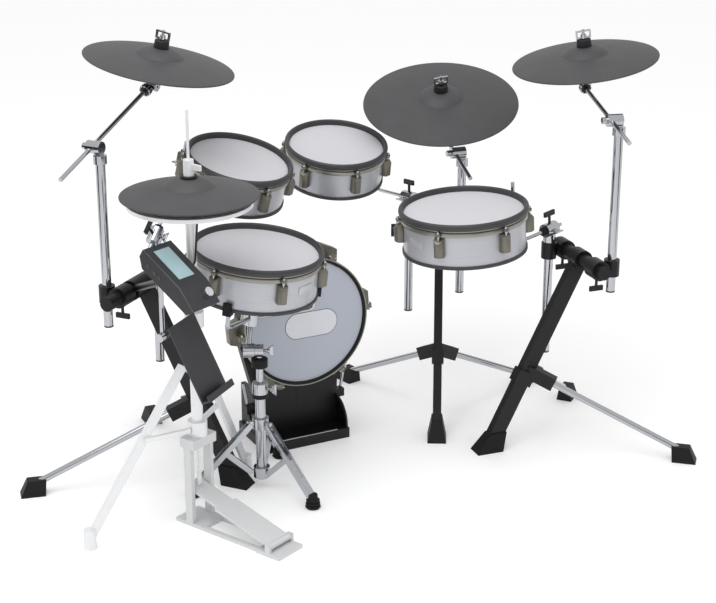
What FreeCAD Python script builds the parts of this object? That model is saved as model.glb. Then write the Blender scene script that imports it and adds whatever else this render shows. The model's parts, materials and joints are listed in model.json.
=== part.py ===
# Electronic drum kit: three leaning tripod stands carry toms and cymbal pads on posts,
# with a snare on its own stand, a kick tower, a hi-hat stand and a sound module.
# Millimetres. +X to the drummer's right, +Y away from the drummer, +Z up.
# The origin is on the floor below the middle of the kit.
import FreeCAD, Part
import math
import os
import Sketcher
from types import SimpleNamespace

V = FreeCAD.Vector
UP = V(0, 0, 1)
ALONG = V(1, 0, 0)
NOWHERE = V(0, 0, 0)
HALF_SHARE = 0.5
FULL_TURN_ANGLE = 360.0

# Driving sizes, one cell each. Lengths in millimetres, angles in degrees.
SIZES = {
    # Fits: a fixed seat, a running fit, and flat faces on bodies that move past each other
    "seat_gap": 0.15, "running_gap": 0.06, "moving_gap": 0.4, "overrun": 2.0,
    # Rack stand: leaning rectangular leg, top bar, bracket and two sloping tubes
    "leg_length": 605.0, "leg_depth": 44.0, "leg_width": 24.0, "leg_wall": 2.0, "leg_lean_angle": 26.5,
    "bar_diameter": 38.0, "bar_wall": 2.0, "bar_cap_thickness": 7.0,
    "bracket_along_leg": 235.0, "bracket_height": 40.0, "bracket_wall": 5.0, "bracket_ear_reach": 42.0,
    "bracket_ear_height": 38.0, "bracket_ear_thickness": 28.0,
    "tube_diameter": 19.0, "tube_wall": 1.5, "tube_foot_entry": 26.0, "tube_start_aside": 22.0,
    "tube_start_forward": 46.0,
    "foot_length": 78.0, "foot_width": 54.0, "foot_height": 54.0, "foot_taper": 12.0, "foot_floor": 6.0,
    "tube_foot_length": 66.0, "tube_foot_width": 46.0, "tube_foot_height": 44.0, "tube_foot_taper": 8.0,
    "tube_foot_shift": 12.0,
    # Bar clamps, posts and their plugs
    "clamp_width": 46.0, "clamp_wall": 9.0, "clamp_reach": 45.0, "clamp_bolt_diameter": 8.0,
    "clamp_bolt_length": 22.0, "wing_width": 40.0, "wing_height": 14.0, "wing_thickness": 7.0,
    "post_diameter": 25.4, "post_wall": 1.5, "plug_lip": 4.0, "plug_length": 12.0,
    "collar_wall": 5.0, "collar_height": 24.0,
    # Boom clamp, boom rod and tilter
    "boom_diameter": 12.0, "crash_boom_tail": 150.0, "ride_boom_tail": 130.0,
    "boom_disc_radius": 17.0, "boom_disc_thickness": 15.0,
    "boom_hub_thickness": 27.0, "boom_pin_radius": 5.0, "boom_pin_length": 7.0,
    "tilter_disc_radius": 13.5, "tilter_disc_thickness": 14.0, "tilter_pin_radius": 3.0,
    "tilter_pin_length": 8.0, "stem_radius": 4.0, "stem_below": 60.0, "stem_above": 94.0,
    "knob_radius": 9.0, "knob_length": 14.0,
    "boom_lock_radius": 16.0, "boom_lock_length": 16.0, "boom_lock_from_end": 18.0,
    # Cymbal pads: rubber bow and bell over a stiff core, one piece, on felts
    "crash_diameter": 406.0, "ride_diameter": 457.0, "pad_thickness": 7.0, "pad_edge_thickness": 5.0,
    "bow_rise": 26.0, "bow_radius": 690.0, "bell_radius": 66.0, "bell_rise": 20.0, "bell_round_radius": 74.0,
    "bell_top_radius": 24.0, "pad_hole_radius": 5.6, "felt_seat_radius": 7.4, "felt_radius": 12.8,
    "felt_height": 15.0, "felt_gap": 0.85, "cup_radius": 16.0, "cup_height": 5.0,
    "nut_radius": 8.0, "nut_height": 11.0, "nut_wing_width": 42.0, "nut_wing_height": 22.0,
    "nut_wing_bar": 4.0, "sleeve_radius": 21.0, "sleeve_height": 21.0, "sleeve_gap": 2.5,
    "sleeve_bore_radius": 7.3,
    # Drums: rubber rim, metal hoop, shell, mesh head, base ring, lugs
    "drum12_rim_diameter": 350.0, "drum12_height": 125.0, "drum10_rim_diameter": 300.0,
    "drum10_height": 116.0, "rim_width": 14.0, "rim_height": 17.0, "rim_round_radius": 7.4,
    "rim_shoulder": 5.0, "head_drop": 14.0, "head_thickness": 1.6, "flesh_width": 5.0,
    "shell_inset": 10.0, "shell_wall": 6.0,
    "hoop_proud": 6.0, "hoop_height": 18.0, "base_ring_height": 9.0, "base_ring_wall": 3.6,
    "lug_width": 26.0, "lug_height": 54.0, "lug_depth": 24.0, "lug_round": 5.0, "lug_top_drop": 36.0,
    "rod_radius": 3.2, "claw_width": 18.0, "claw_height": 12.0, "claw_depth": 12.0, "claw_drop": 22.0,
    "sensor_bar_width": 46.0, "sensor_bar_height": 12.0, "sensor_bar_drop": 58.0,
    "sensor_cone_radius": 22.0, "sensor_cone_tip_radius": 9.0,
    # L-rods that carry the toms
    "tom_left_rod_drop": 28.0, "tom_right_rod_drop": 82.0, "floor_tom_rod_drop": 37.0,
    "l_rod_diameter": 10.5, "l_rod_bend": 24.0, "l_rod_stub": 46.0,
    "holder_width": 28.0, "holder_height": 44.0, "holder_reach": 34.0, "holder_rod_out": 20.0,
    "holder_drop": 48.0, "barrel_radius": 19.5, "barrel_length": 44.0, "barrel_rise": 25.0,
    # Snare stand: two tubes, tripod, offset tilter and basket
    "snare_tube_diameter": 28.0, "snare_upper_diameter": 19.0, "snare_tube_wall": 2.0,
    "snare_tube_bottom": 26.0, "snare_tube_top": 290.0, "snare_upper_length": 250.0,
    "snare_tilter_height": 396.0, "snare_collar_height": 30.0, "snare_collar_radius": 21.0,
    "leg_collar_height": 189.0, "leg_collar_radius": 22.0, "low_collar_height": 46.0,
    "snare_leg_radius": 190.0, "snare_leg_width": 15.0, "snare_leg_thickness": 5.0, "snare_leg_gap": 11.0,
    "snare_leg_rise": 24.0, "snare_foot_radius": 17.0, "snare_foot_height": 40.0,
    "tilter_barrel_radius": 19.0, "tilter_barrel_length": 30.0, "neck_radius": 9.0,
    "basket_drop": 80.0, "basket_hub_radius": 20.0, "basket_hub_height": 34.0, "basket_arm_radius": 6.0,
    "basket_arm_bend": 18.0,
    "grip_width": 22.0, "grip_wall": 9.0, "grip_height": 34.0,
    # Hi-hat stand with its pedal
    "hat_diameter": 342.0, "hat_travel_gap": 13.0, "hat_tube_diameter": 30.0, "hat_upper_diameter": 25.4,
    "hat_tube_wall": 2.0, "hat_tube_bottom": 244.0, "hat_tube_top": 560.0, "hat_upper_top": 818.0,
    "hat_rod_radius": 3.5, "hat_rod_above": 214.0, "hat_rod_bottom": 128.0, "hat_clutch_radius": 13.0,
    "hat_clutch_height": 46.0, "hat_disc_diameter": 310.0, "hat_disc_thickness": 10.0,
    "hat_cup_radius": 24.0, "hat_collar_radius": 25.0, "hat_collar_height": 40.0,
    "hat_leg_reach": 306.0, "hat_leg_top": 440.0, "hat_leg_low": 244.0, "hat_leg_width": 24.0,
    "hat_leg_thickness": 9.0, "hat_foot_radius": 17.0, "hat_foot_height": 52.0,
    "hat_upright_width": 24.0, "hat_upright_thickness": 12.0, "hat_upright_aside": 36.0,
    "hat_bridge_height": 26.0, "hat_base_thickness": 10.0, "hat_base_length": 96.0,
    "pedal_heel": 268.0, "pedal_pin_height": 24.0, "pedal_pin_radius": 4.0, "pedal_toe": 22.0,
    "pedal_toe_height": 102.0, "pedal_thickness": 8.0, "pedal_heel_width": 76.0, "pedal_toe_width": 56.0,
    "heel_ear_length": 16.0, "heel_plate_length": 76.0, "heel_plate_width": 92.0,
    "rail_width": 12.0, "strap_width": 14.0,
    "strap_thickness": 3.0,
    # Kick tower
    "kick_hoop_diameter": 376.0, "kick_hoop_depth": 36.0, "kick_hoop_wall": 7.0, "kick_head_inset": 6.0,
    "kick_head_thickness": 2.0, "kick_shell_depth": 84.0, "kick_shell_wall": 9.0, "kick_base_width": 264.0,
    "kick_base_depth": 190.0, "kick_base_height": 30.0, "kick_plate_thickness": 26.0,
    "kick_plate_width": 260.0, "kick_plate_top_width": 370.0, "kick_waist_height": 150.0, "kick_rib": 14.0,
    "kick_lug_width": 78.0, "kick_lug_depth": 36.0, "kick_lug_back": 40.0,
    "kick_claw": 16.0, "spur_radius": 4.0, "spur_aside": 18.0, "spur_length": 96.0, "spur_height": 96.0,
    "spur_clamp": 24.0,
    # Sound module, its bracket and the tablet holder
    "module_length": 200.0, "module_width": 98.0, "module_height": 44.0, "module_nose_length": 62.0,
    "module_nose_drop": 20.0, "module_heel": 22.0, "module_nose_height": 22.0,
    "screen_length": 98.0, "screen_width": 52.0, "screen_thickness": 1.2, "screen_from_end": 16.0,
    "dial_radius": 12.0, "dial_height": 11.0, "dial_shaft_radius": 3.0, "dial_shaft_length": 6.0,
    "dial_from_nose": 34.0, "dial_aside": 24.0, "jack_radius": 5.0, "jack_length": 8.0, "jack_back": 25.0,
    "jack_down": 30.0, "arm_radius": 9.5, "mount_plate_length": 70.0, "mount_plate_width": 52.0,
    "mount_plate_thickness": 6.0, "holder_rod_radius": 6.0, "tablet_length": 200.0, "tablet_width": 106.0,
    "tablet_thickness": 5.0, "tablet_ledge": 24.0, "tablet_lip": 14.0, "tablet_hub_radius": 11.0,
    "tablet_hub_length": 30.0,
    # Hi-hat cable
    "cable_diameter": 5.5,
}

# Places in the kit, one cell for each coordinate
PLACES = {
    "left_stand": (-344.5, -257.8, 0), "right_stand": (347.5, -39.8, 0), "centre_stand": (208.5, 42.2, 0),
    "crash_left": (-547.5, 21.2, 1096), "crash_right": (612.5, 224.2, 1059),
    "snare": (-278.5, -241.8, 676), "tom_left": (-338.5, 44.2, 839),
    "floor_tom": (262.5, -83.8, 740), "kick": (-160.4, -10.1, 376), "snare_stand": (-278.5, -270.8, 0),
    "hat": (-427.5, -467.8, 877), "module": (-438.5, -572.8, 716), "tablet": (-409.5, -602.8, 508),
    "tablet_rod": (-495.5, -558.8, 548),
}

# Pads that go along with the centre stand's bar: their places from the middle of it
BAR_PLACES = {"ride": (6.17, 164.27, 339.56), "tom_right": (-299.83, 31.27, 260.56)}

# How each struck face leans: its normal's run along X and Y for one unit of rise
LEAN_SHARES = {
    "crash_left": (0.189, -0.031), "crash_right": (-0.135, -0.069), "ride": (-0.027, -0.342),
    "snare": (0.104, -0.052), "tom_left": (0.239, -0.169), "tom_right": (0.081, -0.215),
    "floor_tom": (-0.057, -0.024),
}

# Way each stand leans, and the posts on its bar: place along the bar, side of it, reach below and above it
HEADINGS = {"left_stand": 156.2, "right_stand": 21.2, "centre_stand": 87.7}
BAR_LENGTHS = {"left_stand": 360, "right_stand": 272, "centre_stand": 268}
TUBE_FEET = {
    "left_stand": {"left": (476, 276), "right": (430, 273)},
    "right_stand": {"left": (392, 259), "right": (486, 262)},
    "centre_stand": {"left": (430, 276), "right": (430, 276)},
}
POSTS = {
    "crash_left": ("left_stand", 110, 1, 88.4, 364.6), "tom_left": ("left_stand", -145, 1, 279.4, 58.6),
    "crash_right": ("right_stand", -99, 1, 66.4, 384.6), "floor_tom": ("right_stand", 100, -1, 304.4, 36.6),
    "ride": ("centre_stand", -63, 1, 200.4, 196.6), "tom_right": ("centre_stand", 89, 1, 260.4, 61.6),
}
MODULE_ARM_ALONG_BAR = 47


class Size:
    """A sheet cell, or a sum of cells: a number and the expression that gives it."""

    def __init__(self, value, text):
        self.value = value
        self.text = text

    def joined(self, sign, other, value):
        text = other.text if isinstance(other, Size) else repr(other)
        return Size(value, f"({self.text} {sign} {text})")

    def __add__(self, other):
        return self.joined("+", other, self.value + float(other))

    def __sub__(self, other):
        return self.joined("-", other, self.value - float(other))

    def __mul__(self, other):
        return self.joined("*", other, self.value * float(other))

    def __truediv__(self, other):
        return self.joined("/", other, self.value / float(other))

    def __neg__(self):
        return Size(-self.value, f"(-{self.text})")

    def __float__(self):
        return float(self.value)


# The sheet
doc = FreeCAD.newDocument("drum_kit")
sheet = doc.addObject("Spreadsheet::Sheet", "sizes")
cells = dict(SIZES)
for spot, corner in (PLACES | BAR_PLACES).items():
    for axis_name, amount in zip("xyz", corner):
        cells[f"{spot}_{axis_name}"] = amount
for spot, angle in HEADINGS.items():
    cells[f"{spot}_heading_angle"] = angle
    cells[f"{spot}_bar_length"] = BAR_LENGTHS[spot]
    for side, (forward, aside) in TUBE_FEET[spot].items():
        cells[f"{spot}_{side}_foot_forward"] = forward
        cells[f"{spot}_{side}_foot_aside"] = aside
for spot, (stand_name, along, side, below, above) in POSTS.items():
    cells[f"{spot}_post_along"] = along
    cells[f"{spot}_post_below"] = below
    cells[f"{spot}_post_above"] = above
cells["module_arm_along"] = MODULE_ARM_ALONG_BAR
for row, (alias, amount) in enumerate(cells.items(), start=1):
    sheet.set(f"A{row}", alias)
    sheet.set(f"B{row}", str(amount))
    sheet.setAlias(f"B{row}", alias)
doc.recompute()
size = SimpleNamespace(**{alias: Size(float(sheet.get(alias)), f"sizes.{alias}") for alias in cells})


def cell(alias):
    return getattr(size, alias)


def spot_of(name):
    spot = V(*(float(cell(f"{name}_{axis_name}")) for axis_name in "xyz"))
    if name in BAR_PLACES:
        return stand_home("centre_stand").multVec(bar_middle) + spot
    return spot


def unit(vector):
    length = vector.Length
    return V(vector.x / length, vector.y / length, vector.z / length)


def normal_of(name):
    run_x, run_y = LEAN_SHARES[name]
    return unit(V(run_x, run_y, 1))


# Places
def aimed(point, direction):
    return FreeCAD.Placement(point, FreeCAD.Rotation(UP, direction))


def framed(point, z_axis, x_axis):
    z_axis = unit(z_axis)
    x_axis = unit(x_axis - z_axis * x_axis.dot(z_axis))
    return FreeCAD.Placement(point, FreeCAD.Rotation(x_axis, z_axis.cross(x_axis), z_axis, "ZXY"))


def turned(point, angle):
    return FreeCAD.Placement(point, FreeCAD.Rotation(UP, float(angle)))


def moved(place, x=0, y=0, z=0):
    return place.multiply(FreeCAD.Placement(V(x, y, z), FreeCAD.Rotation()))


ROOT = FreeCAD.Placement()


# Primitive solids, bound to the sheet where a size is a cell
def bound(kind, place, **amounts):
    thing = doc.addObject(kind, kind.split("::")[1])
    for name, amount in amounts.items():
        setattr(thing, name, float(amount))
        if isinstance(amount, Size):
            thing.setExpression(name, amount.text)
    thing.Placement = place
    return thing


def cylinder(radius, height, place):
    return bound("Part::Cylinder", place, Radius=radius, Height=height)


def cone(bottom_radius, top_radius, height, place):
    return bound("Part::Cone", place, Radius1=bottom_radius, Radius2=top_radius, Height=height)


def ball(radius, point):
    return bound("Part::Sphere", FreeCAD.Placement(point, FreeCAD.Rotation()), Radius=radius)


def box(length, width, height, place):
    """A block centred on its place in X and Y, standing on it in Z."""
    corner = moved(place, -float(length) / 2, -float(width) / 2)
    return bound("Part::Box", corner, Length=length, Width=width, Height=height)


def tapered(length, width, height, taper, place, shift=0):
    """A block whose four sides draw in towards the top by the taper, with the top shifted along X."""
    standing = place.multiply(FreeCAD.Placement(NOWHERE, FreeCAD.Rotation(V(1, 0, 0), V(0, 0, 1),
                                                                          V(0, -1, 0), "XYZ")))
    return bound("Part::Wedge", standing, Xmin=-length / 2, Xmax=length / 2, Zmin=-width / 2, Zmax=width / 2,
                 X2min=-length / 2 + taper + shift, X2max=length / 2 - taper + shift,
                 Z2min=-width / 2 + taper,
                 Z2max=width / 2 - taper, Ymin=0, Ymax=height)


def fused(*pieces):
    if len(pieces) == 1:
        return pieces[0]
    thing = doc.addObject("Part::MultiFuse", "Fusion")
    thing.Shapes = list(pieces)
    return thing


def cut(base, *tools):
    thing = doc.addObject("Part::Cut", "Cut")
    thing.Base = base
    thing.Tool = fused(*tools)
    return thing


def through(radius, height, place):
    """A cutting cylinder that runs past both ends."""
    return cylinder(radius, size.overrun * 2 + height, moved(place, z=-float(size.overrun)))


def tube(radius, wall, height, place):
    return cut(cylinder(radius, height, place), through(radius - wall, height, place))


def ring(radius, wall, height, place):
    return tube(radius, wall, height, place)


BLOCK_EDGE_COUNT = 12


def rounded(block, radius):
    """All edges of a block rounded alike."""
    thing = doc.addObject("Part::Fillet", "Fillet")
    thing.Base = block
    thing.Edges = [(number + 1, float(radius), float(radius)) for number in range(BLOCK_EDGE_COUNT)]
    return thing


# Revolved and padded profiles
def sketched(body, plane_role, outline, arcs=()):
    """A closed, fully constrained outline. arcs: number of a side, its radius, side of its centre."""
    sketch = body.newObject("Sketcher::SketchObject", "Outline")
    plane = next(item for item in body.Origin.OriginFeatures if item.Role == plane_role)
    sketch.AttachmentSupport = [(plane, "")]
    sketch.MapMode = "FlatFace"
    corners = [V(float(across), float(up), 0) for across, up in outline]
    bends = {number: (radius, hand) for number, radius, hand in arcs}
    first = {}
    last = {}
    for number, start in enumerate(corners):
        end = corners[(number + 1) % len(corners)]
        first[number], last[number] = 1, 2
        if number not in bends:
            sketch.addGeometry(Part.LineSegment(start, end))
            continue
        radius, hand = bends[number]
        half = (end - start) / 2
        aside = unit(V(-half.y, half.x, 0)) * hand * math.sqrt(float(radius) ** 2 - half.Length ** 2)
        middle = start + half + aside
        turns = [math.atan2(corner.y - middle.y, corner.x - middle.x) for corner in (start, end)]
        if hand < 0:
            turns.reverse()
            first[number], last[number] = 2, 1
        sketch.addGeometry(Part.ArcOfCircle(Part.Circle(middle, UP, float(radius)), *turns))
    for number in range(len(corners)):
        follower = (number + 1) % len(corners)
        joint = Sketcher.Constraint("Coincident", number, last[number], follower, first[follower])
        sketch.addConstraint(joint)
    for number, corner in enumerate(outline):
        for kind, amount in zip(("DistanceX", "DistanceY"), corner):
            index = sketch.addConstraint(Sketcher.Constraint(kind, -1, 1, number, first[number],
                                                             float(amount)))
            if isinstance(amount, Size):
                sketch.setExpression(f"Constraints[{index}]", amount.text)
    for number, (radius, hand) in bends.items():
        index = sketch.addConstraint(Sketcher.Constraint("Radius", number, float(radius)))
        if isinstance(radius, Size):
            sketch.setExpression(f"Constraints[{index}]", radius.text)
    return sketch


def revolved(outline, place, arcs=()):
    body = doc.addObject("PartDesign::Body", "Body")
    sketch = sketched(body, "XZ_Plane", outline, arcs)
    turn = body.newObject("PartDesign::Revolution", "Revolution")
    turn.Profile = sketch
    turn.ReferenceAxis = (sketch, ["V_Axis"])
    turn.Angle = FULL_TURN_ANGLE
    body.Placement = place
    return body


def padded(outline, thickness, place):
    """An outline in X and Z, given its thickness evenly on both sides of Y."""
    body = doc.addObject("PartDesign::Body", "Body")
    sketch = sketched(body, "XZ_Plane", outline)
    pad = body.newObject("PartDesign::Pad", "Pad")
    pad.Profile = sketch
    pad.Length = float(thickness)
    if isinstance(thickness, Size):
        pad.setExpression("Length", thickness.text)
    pad.SideType = "Symmetric"
    body.Placement = place
    return body


# Bent rods and the cable: straight runs joined by tangent arcs
def bent_path(points, bends):
    edges = []
    start = points[0]
    for number in range(1, len(points) - 1):
        corner = points[number]
        back = unit(points[number - 1] - corner)
        ahead = unit(points[number + 1] - corner)
        half_turn = back.getAngle(ahead) / 2
        reach = bends[number - 1] / math.tan(half_turn)
        enter = corner + back * reach
        leave = corner + ahead * reach
        inward = unit(back + ahead)
        middle = corner + inward * (bends[number - 1] / math.sin(half_turn) - bends[number - 1])
        edges.append(Part.LineSegment(start, enter).toShape())
        edges.append(Part.Arc(enter, middle, leave).toShape())
        start = leave
    edges.append(Part.LineSegment(start, points[-1]).toShape())
    return Part.Wire(edges)


def bent_rod(radius, points, bends):
    path = bent_path(points, bends)
    section = Part.Wire([Part.Circle(points[0], points[1] - points[0], float(radius)).toShape()])
    thing = doc.addObject("Part::Feature", "BentRod")
    thing.Shape = path.makePipeShell([section], True, False)
    return thing


# Named sub-parts
nodes = []


def node(label, *pieces):
    if len(pieces) == 1:
        thing = pieces[0]
    else:
        thing = doc.addObject("Part::Compound", label)
        thing.Links = list(pieces)
    thing.Label = label
    nodes.append(thing)
    return thing


# Wing bolt: a shank and a flat wing, pointing along its place's Z
def wing_bolt(place):
    shank = cylinder(size.clamp_bolt_diameter / 2, size.clamp_bolt_length, place)
    wing = box(size.wing_width, size.wing_thickness, size.wing_height,
               moved(place, z=float(size.clamp_bolt_length - size.overrun)))
    return fused(shank, wing)


# Rack stands
def stand_home(name):
    return turned(spot_of(name), cell(f"{name}_heading_angle"))


lean_angle = math.radians(size.leg_lean_angle)
lean = V(math.sin(lean_angle), 0, math.cos(lean_angle))
lean_across = V(math.cos(lean_angle), 0, -math.sin(lean_angle))
leg_foot_rise = float(size.foot_floor) + float(size.leg_depth) / 2 * math.sin(lean_angle)
leg_start = leg_foot_rise / math.cos(lean_angle)
bar_middle = lean * float(size.leg_length)
bracket_middle = lean * float(size.bracket_along_leg)
bar_radius = size.bar_diameter / 2
post_radius = size.post_diameter / 2
tube_radius = size.tube_diameter / 2


def bar_place(home, along, length):
    """A place on the bar's axis, Z along the bar, in the middle of a stretch of this length."""
    point = bar_middle + V(0, float(along) - float(length) / 2, 0)
    return home.multiply(framed(point, V(0, 1, 0), V(1, 0, 0)))


def leg_tool(home):
    gap = size.seat_gap * 2
    return box(size.leg_depth + gap, size.leg_width + gap, size.leg_length,
               home.multiply(framed(lean * leg_start, lean, lean_across)))


def bar_tool(home):
    longest = cell("left_stand_bar_length")
    return through(bar_radius + size.seat_gap, longest, bar_place(home, 0, longest))


def tube_ends(stand_name, hand):
    side = "left" if hand > 0 else "right"
    start = bracket_middle + V(float(size.tube_start_forward), hand * float(size.tube_start_aside), 0)
    end = V(float(cell(f"{stand_name}_{side}_foot_forward")),
            hand * float(cell(f"{stand_name}_{side}_foot_aside")), float(size.tube_foot_entry))
    return start, end


def tube_tool(stand_name, home, hand):
    start, end = tube_ends(stand_name, hand)
    return cylinder(tube_radius + size.seat_gap, (end - start).Length, home.multiply(aimed(start,
                                                                                           end - start)))


legs = []
bars = []
caps = []
brackets = []
tubes = []
feet = []
clamps = []
bolts = []
for stand_name in HEADINGS:
    home = stand_home(stand_name)
    leg_place = home.multiply(framed(lean * leg_start, lean, lean_across))
    leg_run = float(size.leg_length) - leg_start
    leg_block = box(size.leg_depth, size.leg_width, leg_run, leg_place)
    leg_hollow = box(size.leg_depth - size.leg_wall * 2, size.leg_width - size.leg_wall * 2,
                     leg_run + float(size.overrun) * 2, moved(leg_place, z=-float(size.overrun)))
    legs.append(cut(leg_block, leg_hollow, bar_tool(home)))
    foot_lean = math.tan(lean_angle) * float(size.foot_height)
    foot_block = tapered(size.foot_length, size.foot_width, size.foot_height, size.foot_taper, home,
                         foot_lean)
    feet.append(cut(foot_block, leg_tool(home)))
    bar_length = cell(f"{stand_name}_bar_length")
    bars.append(tube(bar_radius, size.bar_wall, bar_length, bar_place(home, 0, bar_length)))
    for hand in (-1, 1):
        cap_along = hand * (float(bar_length) + float(size.bar_cap_thickness)) / 2
        disc = cylinder(bar_radius, size.bar_cap_thickness, bar_place(home, cap_along,
                                                                      size.bar_cap_thickness))
        inner_along = hand * (float(bar_length) - float(size.plug_length)) / 2
        plug = cylinder(bar_radius - size.bar_wall - size.seat_gap, size.plug_length,
                        bar_place(home, inner_along, size.plug_length))
        caps.append(fused(disc, plug))
    # Bracket: a sleeve round the leg with an ear for each tube
    sleeve_place = home.multiply(framed(bracket_middle - lean * float(size.bracket_height) / 2, lean,
                                        lean_across))
    sleeve = box(size.leg_depth + size.bracket_wall * 2, size.leg_width + size.bracket_wall * 2,
                 size.bracket_height, sleeve_place)
    ears = []
    for hand in (-1, 1):
        start, end = tube_ends(stand_name, hand)
        way = unit(end - start)
        ear_start = start - way * float(size.bracket_ear_reach)
        ears.append(box(size.bracket_ear_height, size.bracket_ear_thickness, size.bracket_ear_reach * 2,
                        home.multiply(framed(ear_start, way, UP))))
        tubes.append(tube(tube_radius, size.tube_wall, (end - start).Length, home.multiply(aimed(start,
                                                                                                 way))))
        way_flat = V(way.x, way.y, 0)
        tube_foot = tapered(size.tube_foot_length, size.tube_foot_width, size.tube_foot_height,
                            size.tube_foot_taper, home.multiply(framed(V(end.x, end.y, 0), UP, way_flat)),
                            -size.tube_foot_shift)
        feet.append(cut(tube_foot, tube_tool(stand_name, home, hand)))
    brackets.append(cut(fused(sleeve, *ears), leg_tool(home), tube_tool(stand_name, home, -1),
                        tube_tool(stand_name, home, 1)))
    # Clamp where the leg meets the bar
    saddle = cylinder(bar_radius + size.clamp_wall, size.clamp_width, bar_place(home, 0, size.clamp_width))
    clamps.append(cut(saddle, bar_tool(home), leg_tool(home)))


# Posts, their clamps on the bars, and plugs in their lower ends
def post_foot(name):
    stand_name, along, side, below, above = POSTS[name]
    local = bar_middle + V(side * float(size.clamp_reach), float(cell(f"{name}_post_along")), 0)
    point = stand_home(stand_name).multVec(local)
    return V(point.x, point.y, bar_middle.z - float(cell(f"{name}_post_below")))


def post_top(name):
    foot = post_foot(name)
    return V(foot.x, foot.y, bar_middle.z + float(cell(f"{name}_post_above")))


def post_tool(name):
    length = (post_top(name) - post_foot(name)).Length
    return cylinder(post_radius + size.seat_gap, length, aimed(post_foot(name), UP))


def bolt_below(home, along):
    point = bar_middle + V(0, float(along), -float(bar_radius + size.clamp_wall + size.seat_gap))
    return wing_bolt(home.multiply(framed(point, -UP, V(1, 0, 0))))


posts = []
for name, (stand_name, along, side, below, above) in POSTS.items():
    home = stand_home(stand_name)
    foot = post_foot(name)
    length = cell(f"{name}_post_below") + cell(f"{name}_post_above")
    posts.append(tube(post_radius, size.post_wall, length, aimed(foot, UP)))
    lip = cylinder(post_radius, size.plug_lip, aimed(foot - UP * float(size.plug_lip), UP))
    plug = cylinder(post_radius - size.post_wall - size.seat_gap, size.plug_length, aimed(foot, UP))
    caps.append(fused(lip, plug))
    place_along = cell(f"{name}_post_along")
    grip = cylinder(bar_radius + size.clamp_wall, size.clamp_width, bar_place(home, place_along,
                                                                              size.clamp_width))
    collar_foot = V(foot.x, foot.y, bar_middle.z - float(size.clamp_width) / 2)
    collar = cylinder(post_radius + size.clamp_wall, size.clamp_width, aimed(collar_foot, UP))
    clamps.append(cut(fused(grip, collar), bar_tool(home), post_tool(name)))
    bolts.append(bolt_below(home, place_along))

node("stand_legs", *legs)
node("stand_top_bars", *bars)
node("stand_brackets", *brackets)
node("stand_tubes", *tubes)


# Cymbals: boom clamp on the post, boom, tilter and pad
def pad_outline(radius, hole_radius):
    """Half section of a pad: rim at height 0, bow, bell and a flat top round the hole."""
    bell_foot = size.bow_rise
    bell_top = size.bow_rise + size.bell_rise
    inner_bell = size.bell_radius - size.pad_thickness * HALF_SHARE
    outline = [
        (hole_radius, bell_top - size.pad_thickness),
        (size.bell_top_radius, bell_top - size.pad_thickness),
        (inner_bell, bell_foot - size.pad_thickness),
        (radius, Size(0.0, "0")),
        (radius, size.pad_edge_thickness),
        (size.bell_radius, bell_foot),
        (size.bell_top_radius, bell_top),
        (hole_radius, bell_top),
    ]
    arcs = [(1, size.bell_round_radius - size.pad_thickness, -1), (2, size.bow_radius, -1),
            (4, size.bow_radius, 1), (5, size.bell_round_radius, 1)]
    return outline, arcs


def pad(radius, hole_radius, place):
    outline, arcs = pad_outline(radius, hole_radius)
    return revolved(outline, place, arcs)


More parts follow.
